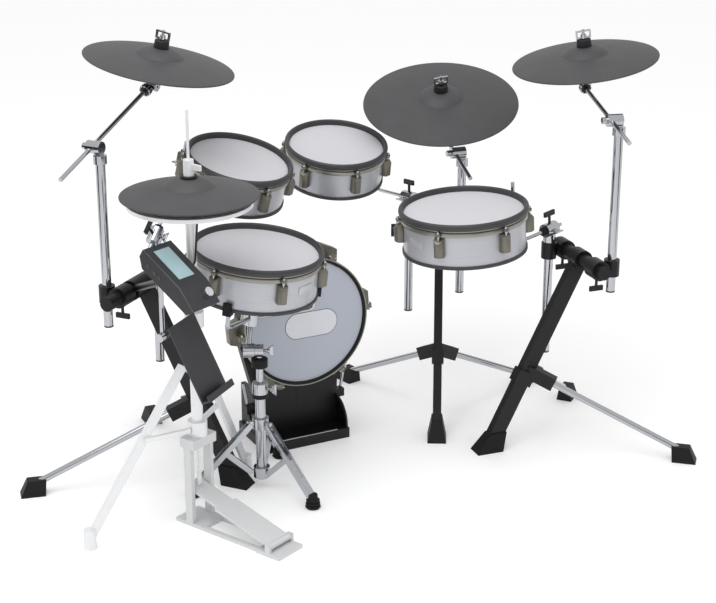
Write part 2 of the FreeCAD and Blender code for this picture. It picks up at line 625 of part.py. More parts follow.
boom_clamps = []
tilt_axes = {}
for name, diameter, tail_length in (("crash_left", size.crash_diameter, size.crash_boom_tail),
                                    ("crash_right", size.crash_diameter, size.crash_boom_tail),
                                    ("ride", size.ride_diameter, size.ride_boom_tail)):
    centre = spot_of(name)
    normal = normal_of(name)
    top = post_top(name)
    hinge = top + UP * float(size.collar_height * HALF_SHARE + size.boom_disc_radius)
    stem_foot = centre - normal * float(size.stem_below)
    disc_step = float(size.tilter_disc_thickness + size.moving_gap)
    hub_start = float(size.boom_disc_thickness / 2 + size.moving_gap)
    rod_aside = hub_start + float(size.boom_pin_length + size.overrun + size.boom_diameter / 2)

    # The hinge axis is level and square to the boom, which passes beside the post
    def level_axis(target, offset):
        run = V(target.x - hinge.x, target.y - hinge.y, 0)
        sine = offset / run.Length
        ahead = unit(run)
        return UP.cross(ahead) * math.sqrt(1 - sine * sine) + ahead * sine

    first_axis = level_axis(stem_foot, rod_aside - disc_step)
    tilt_axis = unit(first_axis - normal * first_axis.dot(normal))
    boom_end = stem_foot + tilt_axis * disc_step
    hinge_axis = level_axis(boom_end, rod_aside)
    boom_crossing = hinge + hinge_axis * rod_aside
    boom_way = unit(boom_end - boom_crossing)
    tilt_axes[name] = (hinge, hinge_axis, stem_foot, tilt_axis)

    # Fixed half: collar on the post, neck, toothed disc and hinge pin
    collar_foot = top - UP * float(size.collar_height * HALF_SHARE)
    collar = cylinder(post_radius + size.collar_wall, size.collar_height - size.overrun,
                      aimed(collar_foot, UP))
    neck = box(size.boom_disc_thickness, size.boom_disc_radius, hinge.z - top.z, framed(top, UP, hinge_axis))
    disc = cylinder(size.boom_disc_radius, size.boom_disc_thickness,
                    aimed(hinge - hinge_axis * float(size.boom_disc_thickness / 2), hinge_axis))
    pin = cylinder(size.boom_pin_radius, size.boom_disc_thickness + size.moving_gap + size.boom_pin_length,
                   aimed(hinge - hinge_axis * float(size.boom_disc_thickness / 2), hinge_axis))
    boom_clamps.append(cut(fused(collar, neck, disc, pin), post_tool(name)))

    # Boom: hub with the rod through it, a lock knob, and the tilter's toothed disc on its end
    hub = cylinder(size.boom_disc_radius, size.boom_hub_thickness, aimed(hinge + hinge_axis * hub_start,
                                                                         hinge_axis))
    knob = cylinder(size.knob_radius, size.knob_length,
                    aimed(hinge + hinge_axis * (hub_start + float(size.boom_hub_thickness)), hinge_axis))
    tail = boom_crossing - boom_way * float(tail_length)
    rod = cylinder(size.boom_diameter / 2, (boom_end - tail).Length, aimed(tail, boom_way))
    lock_start = boom_end - boom_way * float(size.boom_lock_from_end + size.boom_lock_length)
    lock = cylinder(size.boom_lock_radius, size.boom_lock_length, aimed(lock_start, boom_way))
    end_disc = cylinder(size.tilter_disc_radius, size.tilter_disc_thickness,
                        aimed(boom_end - tilt_axis * float(size.tilter_disc_thickness / 2), tilt_axis))
    end_pin_start = boom_end - tilt_axis * float(size.tilter_disc_thickness / 2 + size.tilter_pin_length)
    end_pin = cylinder(size.tilter_pin_radius, size.tilter_pin_length, aimed(end_pin_start, tilt_axis))
    pin_bore = through(size.boom_pin_radius + size.running_gap, size.boom_pin_length,
                       aimed(hinge + hinge_axis * hub_start, hinge_axis))
    node(f"{name}_boom", fused(cut(fused(hub, knob, rod), pin_bore), lock, end_disc, end_pin))

    # Tilter: disc, threaded stem, cup under the pad, nut with an open wing above it
    home = framed(centre, normal, tilt_axis)
    tilter_disc = cylinder(size.tilter_disc_radius, size.tilter_disc_thickness,
                           aimed(stem_foot - tilt_axis * float(size.tilter_disc_thickness / 2), tilt_axis))
    stem_start = float(size.tilter_pin_radius + size.overrun) - float(size.stem_below)
    stem = cylinder(size.stem_radius, float(size.stem_above) - stem_start, moved(home, z=stem_start))
    pad_under = size.bow_rise + size.bell_rise - size.pad_thickness
    pad_top = size.bow_rise + size.bell_rise
    cup_foot = pad_under - size.felt_height - size.felt_gap - size.cup_height
    cup = cylinder(size.cup_radius, size.cup_height, moved(home, z=float(cup_foot)))
    nut_foot = pad_top + size.sleeve_height + size.sleeve_gap
    nut = cylinder(size.nut_radius, size.nut_height, moved(home, z=float(nut_foot)))
    frame_edges = size.nut_wing_bar * 2
    opening = box(size.nut_wing_width - frame_edges, size.wing_thickness + size.overrun,
                  size.nut_wing_height - frame_edges, moved(home, z=float(nut_foot + size.nut_wing_bar)))
    wing = cut(box(size.nut_wing_width, size.wing_thickness, size.nut_wing_height,
                   moved(home, z=float(nut_foot))), opening)
    stem_bore = through(size.tilter_pin_radius + size.running_gap, size.tilter_disc_thickness,
                        aimed(stem_foot - tilt_axis * float(size.tilter_disc_thickness / 2), tilt_axis))
    node(f"{name}_tilter", fused(cut(tilter_disc, stem_bore), stem, cup, nut, wing))

    # Pad on a felt that narrows towards the cup, with a rubber sleeve under the nut
    felt_bore = size.pad_hole_radius + size.felt_gap
    lower = cut(cone(size.felt_seat_radius, size.felt_radius, size.felt_height,
                     moved(home, z=float(pad_under - size.felt_height))),
                through(felt_bore, size.felt_height, moved(home, z=float(pad_under - size.felt_height))))
    upper = cut(cylinder(size.sleeve_radius, size.sleeve_height, moved(home, z=float(pad_top))),
                through(size.sleeve_bore_radius, size.sleeve_height, moved(home, z=float(pad_top))))
    node(f"{name}_pad", pad(diameter / 2, size.pad_hole_radius, home), lower, upper)


# Drums: angle of the first lug, and of the L-rod holder, seen from above;
# top of the L-rod above the rim, and its bend below the shell
DRUM_LUG_COUNT = 6
DRUMS = {
    "snare": (size.drum12_rim_diameter, size.drum12_height, -4.4, None, None, None),
    "tom_left": (size.drum10_rim_diameter, size.drum10_height, 6, 160,
                 -size.rim_height, size.tom_left_rod_drop),
    "tom_right": (size.drum10_rim_diameter, size.drum10_height, -5.5, 38,
                  -size.rim_height, size.tom_right_rod_drop),
    "floor_tom": (size.drum12_rim_diameter, size.drum12_height, 4.7, 40,
                  size.rim_height, size.floor_tom_rod_drop),
}


def lug(home, shell_radius, angle):
    """A block on the shell, a tension rod out of its top and a claw over the hoop."""
    out = shell_radius + size.hoop_proud + size.seat_gap + size.claw_depth / 2
    spoke = moved(home.multiply(turned(NOWHERE, angle)), x=float(out))
    block = rounded(box(size.lug_depth, size.lug_width, size.lug_height,
                        moved(spoke, z=-float(size.lug_top_drop + size.lug_height))), size.lug_round)
    claw_foot = size.claw_drop + size.claw_height
    claw = box(size.claw_depth, size.claw_width, size.claw_height, moved(spoke, z=-float(claw_foot)))
    rod_foot = size.lug_top_drop + size.overrun
    rod = cylinder(size.rod_radius, rod_foot - size.claw_drop + size.overrun * 2,
                   moved(spoke, z=-float(rod_foot)))
    return fused(block, claw, rod)


rod_clamps = []
for name, (rim_diameter, height, lug_angle, holder_angle, rod_top, rod_drop) in DRUMS.items():
    home = framed(spot_of(name), normal_of(name), ALONG)
    rim_radius = rim_diameter / 2
    shell_radius = rim_radius - size.shell_inset
    shell_drop = size.rim_height + size.seat_gap
    shell_inner = shell_radius - size.shell_wall

    # Shell, and inside it the sensor bar with its foam cone under the head
    shell = tube(shell_radius, size.shell_wall, height - shell_drop, moved(home, z=-float(height)))
    half_width = float(size.sensor_bar_width) / 2
    bar_half = math.sqrt(float(shell_inner) ** 2 - half_width ** 2) - float(size.seat_gap)
    bar_foot = size.sensor_bar_drop + size.sensor_bar_height
    sensor_bar = box(bar_half * 2, size.sensor_bar_width, size.sensor_bar_height,
                     moved(home, z=-float(bar_foot)))
    cone_rise = size.sensor_bar_drop - size.head_drop - size.head_thickness - size.seat_gap
    sensor_cone = cone(size.sensor_cone_radius, size.sensor_cone_tip_radius, cone_rise,
                       moved(home, z=-float(size.sensor_bar_drop)))
    node(f"{name}_shell", shell, fused(sensor_bar, sensor_cone))

    # Mesh head with its flesh hoop on the shell's edge
    head_radius = rim_radius - size.rim_width - size.seat_gap
    head_under = -(size.head_drop + size.head_thickness)
    nothing = Size(0.0, "0")
    node(f"{name}_head", revolved([
        (nothing, head_under),
        (head_radius - size.flesh_width, head_under),
        (head_radius - size.flesh_width, -size.rim_height),
        (head_radius, -size.rim_height),
        (head_radius, -size.head_drop),
        (nothing, -size.head_drop),
    ], home))

    # Rubber rim above the hoop, and the base ring round the shell's lower edge
    rim_inner = rim_radius - size.rim_width
    rim = revolved([
        (rim_inner, -size.rim_height),
        (rim_radius, -size.rim_height),
        (rim_radius, -size.rim_shoulder),
        (rim_inner, -size.rim_shoulder),
    ], home, [(2, size.rim_round_radius, 1)])
    base_ring = ring(shell_radius + size.seat_gap + size.base_ring_wall, size.base_ring_wall,
                     size.base_ring_height, moved(home, z=-float(height)))
    node(f"{name}_rims", rim, base_ring)

    # Metal hoop, lugs and, on the toms, the holder for the L-rod
    hoop = ring(shell_radius + size.hoop_proud, size.hoop_proud - size.seat_gap, size.hoop_height,
                moved(home, z=-float(shell_drop + size.hoop_height)))
    fittings = [hoop]
    for number in range(DRUM_LUG_COUNT):
        fittings.append(lug(home, shell_radius, lug_angle + number * FULL_TURN_ANGLE / DRUM_LUG_COUNT))
    if holder_angle is None:
        node(f"{name}_fittings", *fittings)
        continue
    spoke = home.multiply(turned(NOWHERE, holder_angle))
    rod_out = float(shell_radius + size.holder_rod_out)
    holder_out = float(shell_radius + size.seat_gap + size.holder_reach / 2)
    holder_foot = -float(size.holder_drop + size.holder_height)
    rod_radius = size.l_rod_diameter / 2
    holder = cut(box(size.holder_reach, size.holder_width, size.holder_height,
                     moved(spoke, x=holder_out, z=holder_foot)),
                 through(rod_radius + size.running_gap, size.holder_height,
                         moved(spoke, x=rod_out, z=holder_foot)))
    fittings.append(holder)
    node(f"{name}_fittings", *fittings)

    # L-rod down beside the shell and across to the barrel on the post
    upper_end = spoke.multVec(V(rod_out, 0, float(rod_top)))
    corner = spoke.multVec(V(rod_out, 0, -float(height + rod_drop)))
    barrel_middle = post_top(name) + UP * float(size.barrel_rise)
    way = unit(barrel_middle - corner)
    rod_end = barrel_middle + way * float(size.l_rod_stub)
    node(f"{name}_l_rod", bent_rod(rod_radius, [upper_end, corner, rod_end], [float(size.l_rod_bend)]))
    barrel_start = barrel_middle - way * float(size.barrel_length) / 2
    barrel = cylinder(size.barrel_radius, size.barrel_length, framed(barrel_start, way, UP))
    collar_foot = post_top(name) - UP * float(size.collar_height * HALF_SHARE)
    collar = cylinder(post_radius + size.collar_wall, size.collar_height, aimed(collar_foot, UP))
    bore_start = barrel_middle - way * float(size.barrel_length)
    rod_bore = cylinder(rod_radius + size.running_gap, size.barrel_length * 2, framed(bore_start, way, UP))
    rod_clamps.append(cut(fused(barrel, collar), post_tool(name), rod_bore))
    level_way = unit(way - UP * way.dot(UP))
    barrel_up = unit(UP - way * way.dot(UP))
    bolt_foot = barrel_middle + barrel_up * float(size.barrel_radius + size.seat_gap)
    bolts.append(wing_bolt(framed(bolt_foot, barrel_up, level_way)))

node("post_clamps", *boom_clamps, *rod_clamps)


# Kick tower: Z towards the drummer, Y up, from the middle of the head
KICK_YAW_ANGLE = 27.2
KICK_LUG_COUNT = 6
KICK_FIRST_LUG_ANGLE = 5
kick_yaw = math.radians(KICK_YAW_ANGLE)
kick_normal = V(math.sin(kick_yaw), -math.cos(kick_yaw), 0)
kick_across = V(math.cos(kick_yaw), math.sin(kick_yaw), 0)
kick_middle = spot_of("kick")
kick_home = framed(kick_middle, kick_normal, kick_across)
kick_ground = framed(V(kick_middle.x, kick_middle.y, 0), UP, kick_across)
hoop_radius = size.kick_hoop_diameter / 2
head_radius = hoop_radius - size.kick_hoop_wall - size.seat_gap
shell_radius = hoop_radius - size.kick_hoop_wall
node("kick_hoop", ring(hoop_radius, size.kick_hoop_wall, size.kick_hoop_depth,
                       moved(kick_home, z=-float(size.kick_hoop_depth))))
head_back = size.kick_head_inset + size.kick_head_thickness
node("kick_head", cylinder(head_radius, size.kick_head_thickness, moved(kick_home, z=-float(head_back))))
# Tower: shallow shell behind the head, plate down to the base, ribs behind
shell_front = head_back + size.seat_gap
shell_back = shell_front + size.kick_shell_depth
kick_shell = tube(head_radius, size.kick_shell_wall, size.kick_shell_depth, moved(kick_home,
                                                                                  z=-float(shell_back)))
back_disc = cylinder(head_radius, size.kick_shell_wall, moved(kick_home, z=-float(shell_back)))
base = box(size.kick_base_width, size.kick_base_depth, size.kick_base_height,
           moved(kick_ground, y=float(size.kick_base_depth) / 2))
lug_front = size.kick_hoop_depth + size.seat_gap
plate_back = lug_front + size.kick_lug_back + size.seat_gap + size.kick_plate_thickness / 2
half_foot = size.kick_plate_width / 2
half_top = size.kick_plate_top_width / 2
plate = padded([
    (-half_foot, size.kick_base_height * HALF_SHARE),
    (half_foot, size.kick_base_height * HALF_SHARE),
    (half_foot, size.kick_waist_height),
    (half_top, size.kick_z - size.kick_rib),
    (-half_top, size.kick_z - size.kick_rib),
    (-half_foot, size.kick_waist_height),
], size.kick_plate_thickness, moved(kick_ground, y=float(plate_back)))
ribs = []
for hand in (-1, 1):
    rib_aside = hand * (float(half_foot) - float(size.kick_rib))
    rib_depth = size.kick_base_depth - plate_back
    ribs.append(box(size.kick_rib, rib_depth, size.kick_waist_height,
                    moved(kick_ground, x=rib_aside, y=float(plate_back) + float(rib_depth) / 2)))
node("kick_tower", cut(fused(base, plate, kick_shell, back_disc, *ribs),
                       cylinder(head_radius - size.kick_shell_wall,
                                size.kick_shell_depth - size.kick_shell_wall,
                                moved(kick_home, z=-float(shell_back - size.kick_shell_wall)))))
kick_lugs = []
for number in range(KICK_LUG_COUNT):
    angle = KICK_FIRST_LUG_ANGLE + number * FULL_TURN_ANGLE / KICK_LUG_COUNT
    spoke = kick_home.multiply(turned(NOWHERE, angle))
    lug_out = head_radius + size.seat_gap + size.kick_lug_depth / 2
    block_place = moved(spoke, x=float(lug_out), z=-float(lug_front + size.kick_lug_back))
    kick_block = rounded(box(size.kick_lug_depth, size.kick_lug_width, size.kick_lug_back, block_place),
                         size.lug_round)
    claw_out = float(hoop_radius + size.seat_gap + size.kick_claw / 2)
    claw = box(size.kick_claw, size.kick_claw, size.kick_claw, moved(spoke, x=claw_out,
                                                                     z=-float(size.kick_claw)))
    rod = cylinder(size.rod_radius, lug_front + size.overrun, moved(spoke, x=claw_out,
                                                                    z=-float(lug_front + size.overrun)))
    kick_lugs.append(fused(kick_block, claw, rod))
node("kick_lugs", *kick_lugs)
# Spurs: a clamp on each side of the tower with its rod drawn up off the floor
spurs = []
for hand in (-1, 1):
    clamp_aside = hand * (float(half_foot) + float(size.seat_gap) + float(size.spur_clamp) / 2)
    clamp_foot = moved(kick_ground, x=clamp_aside, y=float(plate_back), z=float(size.spur_height))
    spur_clamp = box(size.spur_clamp, size.spur_clamp, size.spur_clamp, clamp_foot)
    spur_way = clamp_foot.Rotation.multVec(V(hand * float(size.spur_aside), 0, float(size.spur_length)))
    toe = clamp_foot.Base - unit(spur_way) * float(size.spur_clamp)
    spur = cylinder(size.spur_radius, size.spur_length + size.spur_clamp, aimed(toe, spur_way))
    spurs.append(fused(spur_clamp, spur, ball(size.spur_radius, toe)))
node("kick_spurs", *spurs)


# Strips and rods that run outwards from an upright tube, in the plane at an angle round it
def spoke_point(axis_foot, angle, reach, rise):
    heading = math.radians(angle)
    return axis_foot + V(math.cos(heading) * reach, math.sin(heading) * reach, rise)


def strip(axis_foot, angle, inner, outer, aside, thickness, width):
    """A flat strip from an inner to an outer (reach, rise), set off sideways, on edge."""
    heading = math.radians(angle)
    sideways = V(-math.sin(heading), math.cos(heading), 0)
    start = spoke_point(axis_foot, angle, *inner) + sideways * aside
    end = spoke_point(axis_foot, angle, *outer) + sideways * aside
    return box(thickness, width, (end - start).Length, framed(start, end - start, sideways))


def clear_reach(collar_radius, width, inner_rise, outer):
    """Reach at which a strip of this width, sloping to the outer point, just clears a collar."""
    run = outer[0] - float(collar_radius)
    drop = inner_rise - outer[1]
    return float(collar_radius + size.seat_gap) + float(width) / 2 * abs(drop) / math.hypot(run, drop)


# Snare stand
SNARE_LEG_ANGLES = (-42, 78, 198)
SNARE_GRIP_ANGLES = (10, 130, 250)
snare_axis = spot_of("snare_stand")
stand_radius = size.snare_tube_diameter / 2
upper_radius = size.snare_upper_diameter / 2
tube_length = size.snare_tube_top - size.snare_tube_bottom
lower_tube = tube(stand_radius, size.snare_tube_wall, tube_length,
                  aimed(snare_axis + UP * float(size.snare_tube_bottom), UP))


def stand_tool(length_radius):
    return through(length_radius + size.seat_gap, size.snare_tube_top,
                   aimed(snare_axis - UP * float(size.overrun), UP))


collar_foot = snare_axis + UP * (float(size.snare_tube_top) - float(size.snare_collar_height) / 2)
height_collar = cut(
    cylinder(size.snare_collar_radius, size.snare_collar_height, aimed(collar_foot, UP)),
    stand_tool(stand_radius),
    through(upper_radius + size.running_gap, size.snare_collar_height, aimed(collar_foot, UP)))
ear_width = size.snare_leg_gap - size.seat_gap * 2
stand_collars = []
for rise in (size.leg_collar_height, size.low_collar_height):
    ears = []
    for angle in SNARE_LEG_ANGLES:
        if rise is size.leg_collar_height:
            ear_place = moved(turned(snare_axis, angle), x=float(size.leg_collar_radius),
                              z=float(rise - size.snare_leg_width / 2))
            ears.append(box(size.snare_collar_height, ear_width, size.snare_leg_width, ear_place))
    foot = snare_axis + UP * float(rise - size.snare_collar_height / 2)
    sleeve = cylinder(size.leg_collar_radius, size.snare_collar_height, aimed(foot, UP))
    stand_collars.append(cut(fused(sleeve, *ears), stand_tool(stand_radius)))
node("snare_stand_tube", lower_tube, height_collar, *stand_collars)

tripod = []
strip_aside = float(size.snare_leg_gap + size.snare_leg_thickness) / 2
leg_end = (float(size.snare_leg_radius), float(size.snare_leg_rise))
for angle in SNARE_LEG_ANGLES:
    inner_reach = clear_reach(size.leg_collar_radius, size.snare_leg_width, float(size.leg_collar_height),
                              leg_end)
    leg_inner = (inner_reach, float(size.leg_collar_height))
    sides = [strip(snare_axis, angle, leg_inner, leg_end, hand * strip_aside, size.snare_leg_thickness,
                   size.snare_leg_width) for hand in (-1, 1)]
    middle_share = 0.72
    toe_start = tuple(near + (far - near) * middle_share for near, far in zip(leg_inner, leg_end))
    toe = strip(snare_axis, angle, toe_start, leg_end, 0, size.snare_leg_gap + size.snare_leg_thickness,
                size.snare_leg_width)
    tripod.append(fused(*sides, toe))
    brace_share = 0.45
    brace_end = tuple(near + (far - near) * brace_share for near, far in zip(leg_inner, leg_end))
    low = float(size.low_collar_height)
    brace_inner = (clear_reach(size.leg_collar_radius, size.snare_leg_width, low, brace_end), low)
    tripod.append(strip(snare_axis, angle, brace_inner, brace_end, 0, ear_width, size.snare_leg_width))
    foot_point = spoke_point(snare_axis, angle, float(size.snare_leg_radius), 0)
    rubber = cone(size.snare_foot_radius, size.snare_foot_radius - size.snare_leg_thickness,
                  size.snare_foot_height, aimed(foot_point, UP))
    socket = strip(snare_axis, angle, leg_inner, leg_end, 0,
                   size.snare_leg_gap + size.snare_leg_thickness * 2 + size.seat_gap * 2,
                   size.snare_leg_width + size.seat_gap * 2)
    feet.append(cut(rubber, socket))
node("snare_stand_legs", *tripod)

# Upper tube with the fixed half of the offset tilter
tilt_point = snare_axis + UP * float(size.snare_tilter_height)
upper_foot = tilt_point - UP * float(size.snare_upper_length)
half_fixed = float(size.snare_upper_diameter) / 2 + float(size.overrun)
fixed_disc = cylinder(size.tilter_barrel_radius - size.overrun, half_fixed * 2,
                      aimed(tilt_point - ALONG * half_fixed, ALONG))
basket_pin_length = float(size.tilter_barrel_length) / 2
basket_pin = cylinder(size.boom_pin_radius, basket_pin_length + half_fixed + float(size.moving_gap),
                      aimed(tilt_point, -ALONG))
node("snare_upper_tube", fused(cylinder(upper_radius, size.snare_upper_length, aimed(upper_foot, UP)),
                               fixed_disc, basket_pin))

# Basket: moving half of the tilter, neck, hub and three arms with rubber grips
snare_home = framed(spot_of("snare"), normal_of("snare"), ALONG)
snare_bottom = float(size.drum12_height)
hub_drop = snare_bottom + float(size.basket_drop)
hub_middle = snare_home.multVec(V(0, 0, -hub_drop))
disc_start = tilt_point - ALONG * (half_fixed + float(size.moving_gap))
moving_disc = cylinder(size.tilter_barrel_radius, size.tilter_barrel_length, aimed(disc_start, -ALONG))
disc_middle = disc_start - ALONG * float(size.tilter_barrel_length) / 2
neck = cylinder(size.neck_radius, (hub_middle - disc_middle).Length, aimed(disc_middle,
                                                                           hub_middle - disc_middle))
hub = cylinder(size.basket_hub_radius, size.basket_hub_height,
               moved(snare_home, z=-hub_drop - float(size.basket_hub_height) / 2))
ring_radius = size.drum12_rim_diameter / 2 - size.shell_inset + size.seat_gap + size.base_ring_wall
arms = []
grips = []
for angle in SNARE_GRIP_ANGLES:
    spoke = snare_home.multiply(turned(NOWHERE, angle))
    grip_under = snare_bottom + float(size.seat_gap)
    arm_reach = float(ring_radius) - float(size.basket_arm_radius)
    arm_end_drop = grip_under + float(size.grip_wall) / 2
    bend_share = 0.6
    route = [V(0, 0, -hub_drop), V(arm_reach, 0, -grip_under - float(size.basket_drop) * bend_share),
             V(arm_reach, 0, -arm_end_drop)]
    arms.append(bent_rod(size.basket_arm_radius, [spoke.multVec(point) for point in route],
                         [float(size.basket_arm_bend)]))
    shelf_depth = size.grip_width
    shelf = box(shelf_depth, size.grip_width, size.grip_wall,
                moved(spoke, x=float(ring_radius) - float(shelf_depth) / 2 + float(size.grip_wall),
                      z=-grip_under - float(size.grip_wall)))
    wall = box(size.grip_wall - size.seat_gap, size.grip_width, size.grip_height,
               moved(spoke, x=float(ring_radius + size.seat_gap / 2 + size.grip_wall / 2),
                     z=-grip_under - float(size.grip_wall)))
    socket = cylinder(size.basket_arm_radius + size.seat_gap, size.grip_wall,
                      moved(spoke, x=arm_reach, z=-arm_end_drop - float(size.grip_wall)))
    grips.append(cut(fused(shelf, wall), socket))
basket_bore = through(size.boom_pin_radius + size.running_gap, basket_pin_length, aimed(disc_start, -ALONG))
node("snare_basket", fused(cut(moving_disc, basket_bore), hub, *arms,
                           cut(neck, through(size.boom_pin_radius + size.running_gap, basket_pin_length,
                                             aimed(disc_start, -ALONG)))))
node("snare_basket_grips", *grips)


# Hi-hat stand: X along the pedal, towards the heel
HAT_HEADING_ANGLE = -38
HAT_LEG_ANGLES = (210, 71)
hat_middle = spot_of("hat")
hat_axis = V(hat_middle.x, hat_middle.y, 0)
hat_home = turned(hat_axis, HAT_HEADING_ANGLE)
hat_top = moved(hat_home, z=hat_middle.z)
frame_width = size.hat_upright_aside * 2 + size.hat_upright_thickness
bridge_foot = size.hat_tube_bottom - size.hat_bridge_height
uprights = [box(size.hat_upright_width, size.hat_upright_thickness, bridge_foot + size.overrun,
                moved(hat_home, y=hand * float(size.hat_upright_aside))) for hand in (-1, 1)]
bridge = box(size.hat_upright_width * 2, frame_width, size.hat_bridge_height, moved(hat_home,
                                                                                    z=float(bridge_foot)))
hat_base = box(size.hat_base_length, frame_width, size.hat_base_thickness, hat_home)
heel_plate = box(size.heel_plate_length, size.heel_plate_width, size.hat_base_thickness,
                 moved(hat_home, x=float(size.pedal_heel)))
rails = [box(size.pedal_heel, size.rail_width, size.hat_base_thickness,
             moved(hat_home, x=float(size.pedal_heel) / 2, y=hand * float(size.hat_upright_aside)))
         for hand in (-1, 1)]
ear_aside = float(size.pedal_heel_width) / 2 + float(size.moving_gap)
heel_ears = []
for hand in (-1, 1):
    ear_middle = hand * (ear_aside + float(size.pedal_thickness) / 2)
    heel_ears.append(box(size.heel_ear_length, size.pedal_thickness,
                         size.pedal_pin_height + size.pedal_pin_radius * 2,
                         moved(hat_home, x=float(size.pedal_heel), y=ear_middle)))
pin_half = ear_aside + float(size.pedal_thickness)
pin_place = hat_home.multiply(framed(V(float(size.pedal_heel), -pin_half, float(size.pedal_pin_height)),
                                     V(0, 1, 0), ALONG))
heel_pin = cylinder(size.pedal_pin_radius, pin_half * 2, pin_place)
rod_hole = through(size.hat_rod_radius + size.running_gap, size.hat_bridge_height,
                   moved(hat_home, z=float(bridge_foot)))
node("hat_frame", fused(cut(fused(*uprights, bridge, hat_base, *rails, heel_plate), rod_hole), *heel_ears,
                        heel_pin))

# Footboard: a plate on a hinge barrel, its toe under the pull rod
heel_point = V(float(size.pedal_heel), 0, float(size.pedal_pin_height))
toe_point = V(-float(size.pedal_toe), 0, float(size.pedal_toe_height))
board_way = toe_point - heel_point
board_place = hat_home.multiply(framed(heel_point, board_way, V(0, 1, 0)))
board = box(size.pedal_toe_width, size.pedal_thickness, board_way.Length, board_place)
wide_share = 0.62
wide_board = box(size.pedal_heel_width, size.pedal_thickness, board_way.Length * wide_share, board_place)
barrel_half = float(size.pedal_heel_width) / 2
hinge_barrel = cylinder(size.pedal_pin_radius * 2, barrel_half * 2,
                        hat_home.multiply(framed(heel_point - V(0, barrel_half, 0), V(0, 1, 0), ALONG)))
node("hat_pedal", cut(fused(board, wide_board, hinge_barrel),
                      through(size.pedal_pin_radius + size.running_gap, pin_half * 2, pin_place)))

# Tubes, height collar, and the lower disc on its cup
hat_radius = size.hat_tube_diameter / 2
hat_upper = size.hat_upper_diameter / 2
tube_foot = moved(hat_home, z=float(size.hat_tube_bottom))
hat_lower_tube = tube(hat_radius, size.hat_tube_wall, size.hat_tube_top - size.hat_tube_bottom, tube_foot)
upper_from = size.hat_tube_top - size.hat_collar_height
hat_upper_tube = tube(hat_upper, size.hat_tube_wall, size.hat_upper_top - upper_from,
                      moved(hat_home, z=float(upper_from)))


def hat_sleeve(foot_rise):
    sleeve_foot = moved(hat_home, z=float(foot_rise))
    return cut(cylinder(size.hat_collar_radius, size.hat_collar_height, sleeve_foot),
               cylinder(hat_radius + size.seat_gap, size.hat_tube_top, hat_home),
               through(hat_upper + size.seat_gap, size.hat_collar_height, sleeve_foot))


disc_top = hat_middle.z - float(size.hat_travel_gap)
disc_foot = disc_top - float(size.hat_disc_thickness)
cup = cone(hat_upper, size.hat_cup_radius, disc_foot - float(size.hat_upper_top),
           moved(hat_home, z=float(size.hat_upper_top)))
disc = cylinder(size.hat_disc_diameter / 2, size.hat_disc_thickness, moved(hat_home, z=disc_foot))
disc_hole = through(size.hat_rod_radius + size.moving_gap, disc_top - float(size.hat_upper_top),
                    moved(hat_home, z=float(size.hat_upper_top)))
node("hat_tubes", hat_lower_tube, hat_upper_tube, hat_sleeve(size.hat_tube_top - size.hat_collar_height / 2),
     hat_sleeve(size.hat_leg_top - size.hat_collar_height / 2), hat_sleeve(size.hat_leg_low),
     cut(fused(cup, disc), disc_hole))

hat_legs = []
hat_end = (float(size.hat_leg_reach), float(size.hat_foot_height) / 2)
for angle in HAT_LEG_ANGLES:
    leg_top = float(size.hat_leg_top)
    leg_inner = (clear_reach(size.hat_collar_radius, size.hat_leg_width, leg_top, hat_end), leg_top)
    hat_legs.append(strip(hat_axis, angle, leg_inner, hat_end, 0, size.hat_leg_thickness,
                          size.hat_leg_width))
    low = float(size.hat_leg_low) + float(size.hat_collar_height) / 2
    meet_share = (leg_top - low) / (leg_top - hat_end[1])
    brace_end = (leg_inner[0] + (hat_end[0] - leg_inner[0]) * meet_share, low)
    hat_legs.append(strip(hat_axis, angle, (float(size.hat_collar_radius + size.seat_gap), low), brace_end,
                          float(size.hat_leg_thickness + size.seat_gap), size.hat_leg_thickness,
                          size.rail_width))
    rubber = cone(size.hat_foot_radius, size.hat_foot_radius - size.hat_tube_wall, size.hat_foot_height,
                  aimed(spoke_point(hat_axis, angle, float(size.hat_leg_reach), 0), UP))
    socket = strip(hat_axis, angle, leg_inner, hat_end, 0, size.hat_leg_thickness + size.seat_gap * 2,
                   size.hat_leg_width + size.seat_gap * 2)
    hat_legs.append(cut(rubber, socket))
node("hat_legs", *hat_legs)

# Pull rod with its strap to the footboard, the lower nut and the clutch on the pad
board_slope = board_way.z / board_way.x
board_rise = float(size.pedal_thickness) / 2 * math.hypot(1, board_slope)
strap_clearance = float(size.moving_gap) - float(size.strap_thickness) * board_slope
board_over_axis = float(size.pedal_pin_height) - float(size.pedal_heel) * board_slope
strap_foot = board_over_axis + board_rise + strap_clearance
strap_top = float(size.hat_rod_bottom + size.hat_clutch_radius)
strap = box(size.strap_thickness, size.strap_width, strap_top - strap_foot, moved(hat_home, z=strap_foot))
pull_rod = cylinder(size.hat_rod_radius,
                    hat_middle.z + float(size.hat_rod_above) - float(size.hat_rod_bottom),
                    moved(hat_home, z=float(size.hat_rod_bottom)))
pad_under = float(size.bow_rise + size.bell_rise - size.pad_thickness)
pad_above = float(size.bow_rise + size.bell_rise)
nut = cylinder(size.nut_radius, size.nut_height,
               moved(hat_top, z=pad_under - float(size.nut_height + size.seat_gap)))
clutch = cylinder(size.hat_clutch_radius, size.hat_clutch_height,
                  moved(hat_top, z=pad_above + float(size.seat_gap)))
lever = box(size.wing_width, size.wing_thickness, size.wing_height,
            moved(hat_top, x=float(size.wing_width) / 2, z=pad_above + float(size.hat_clutch_height) / 2))
node("hat_rod", fused(pull_rod, strap, nut, clutch, lever))
node("hat_pad", pad(size.hat_diameter / 2, size.hat_rod_radius + size.seat_gap, hat_top))


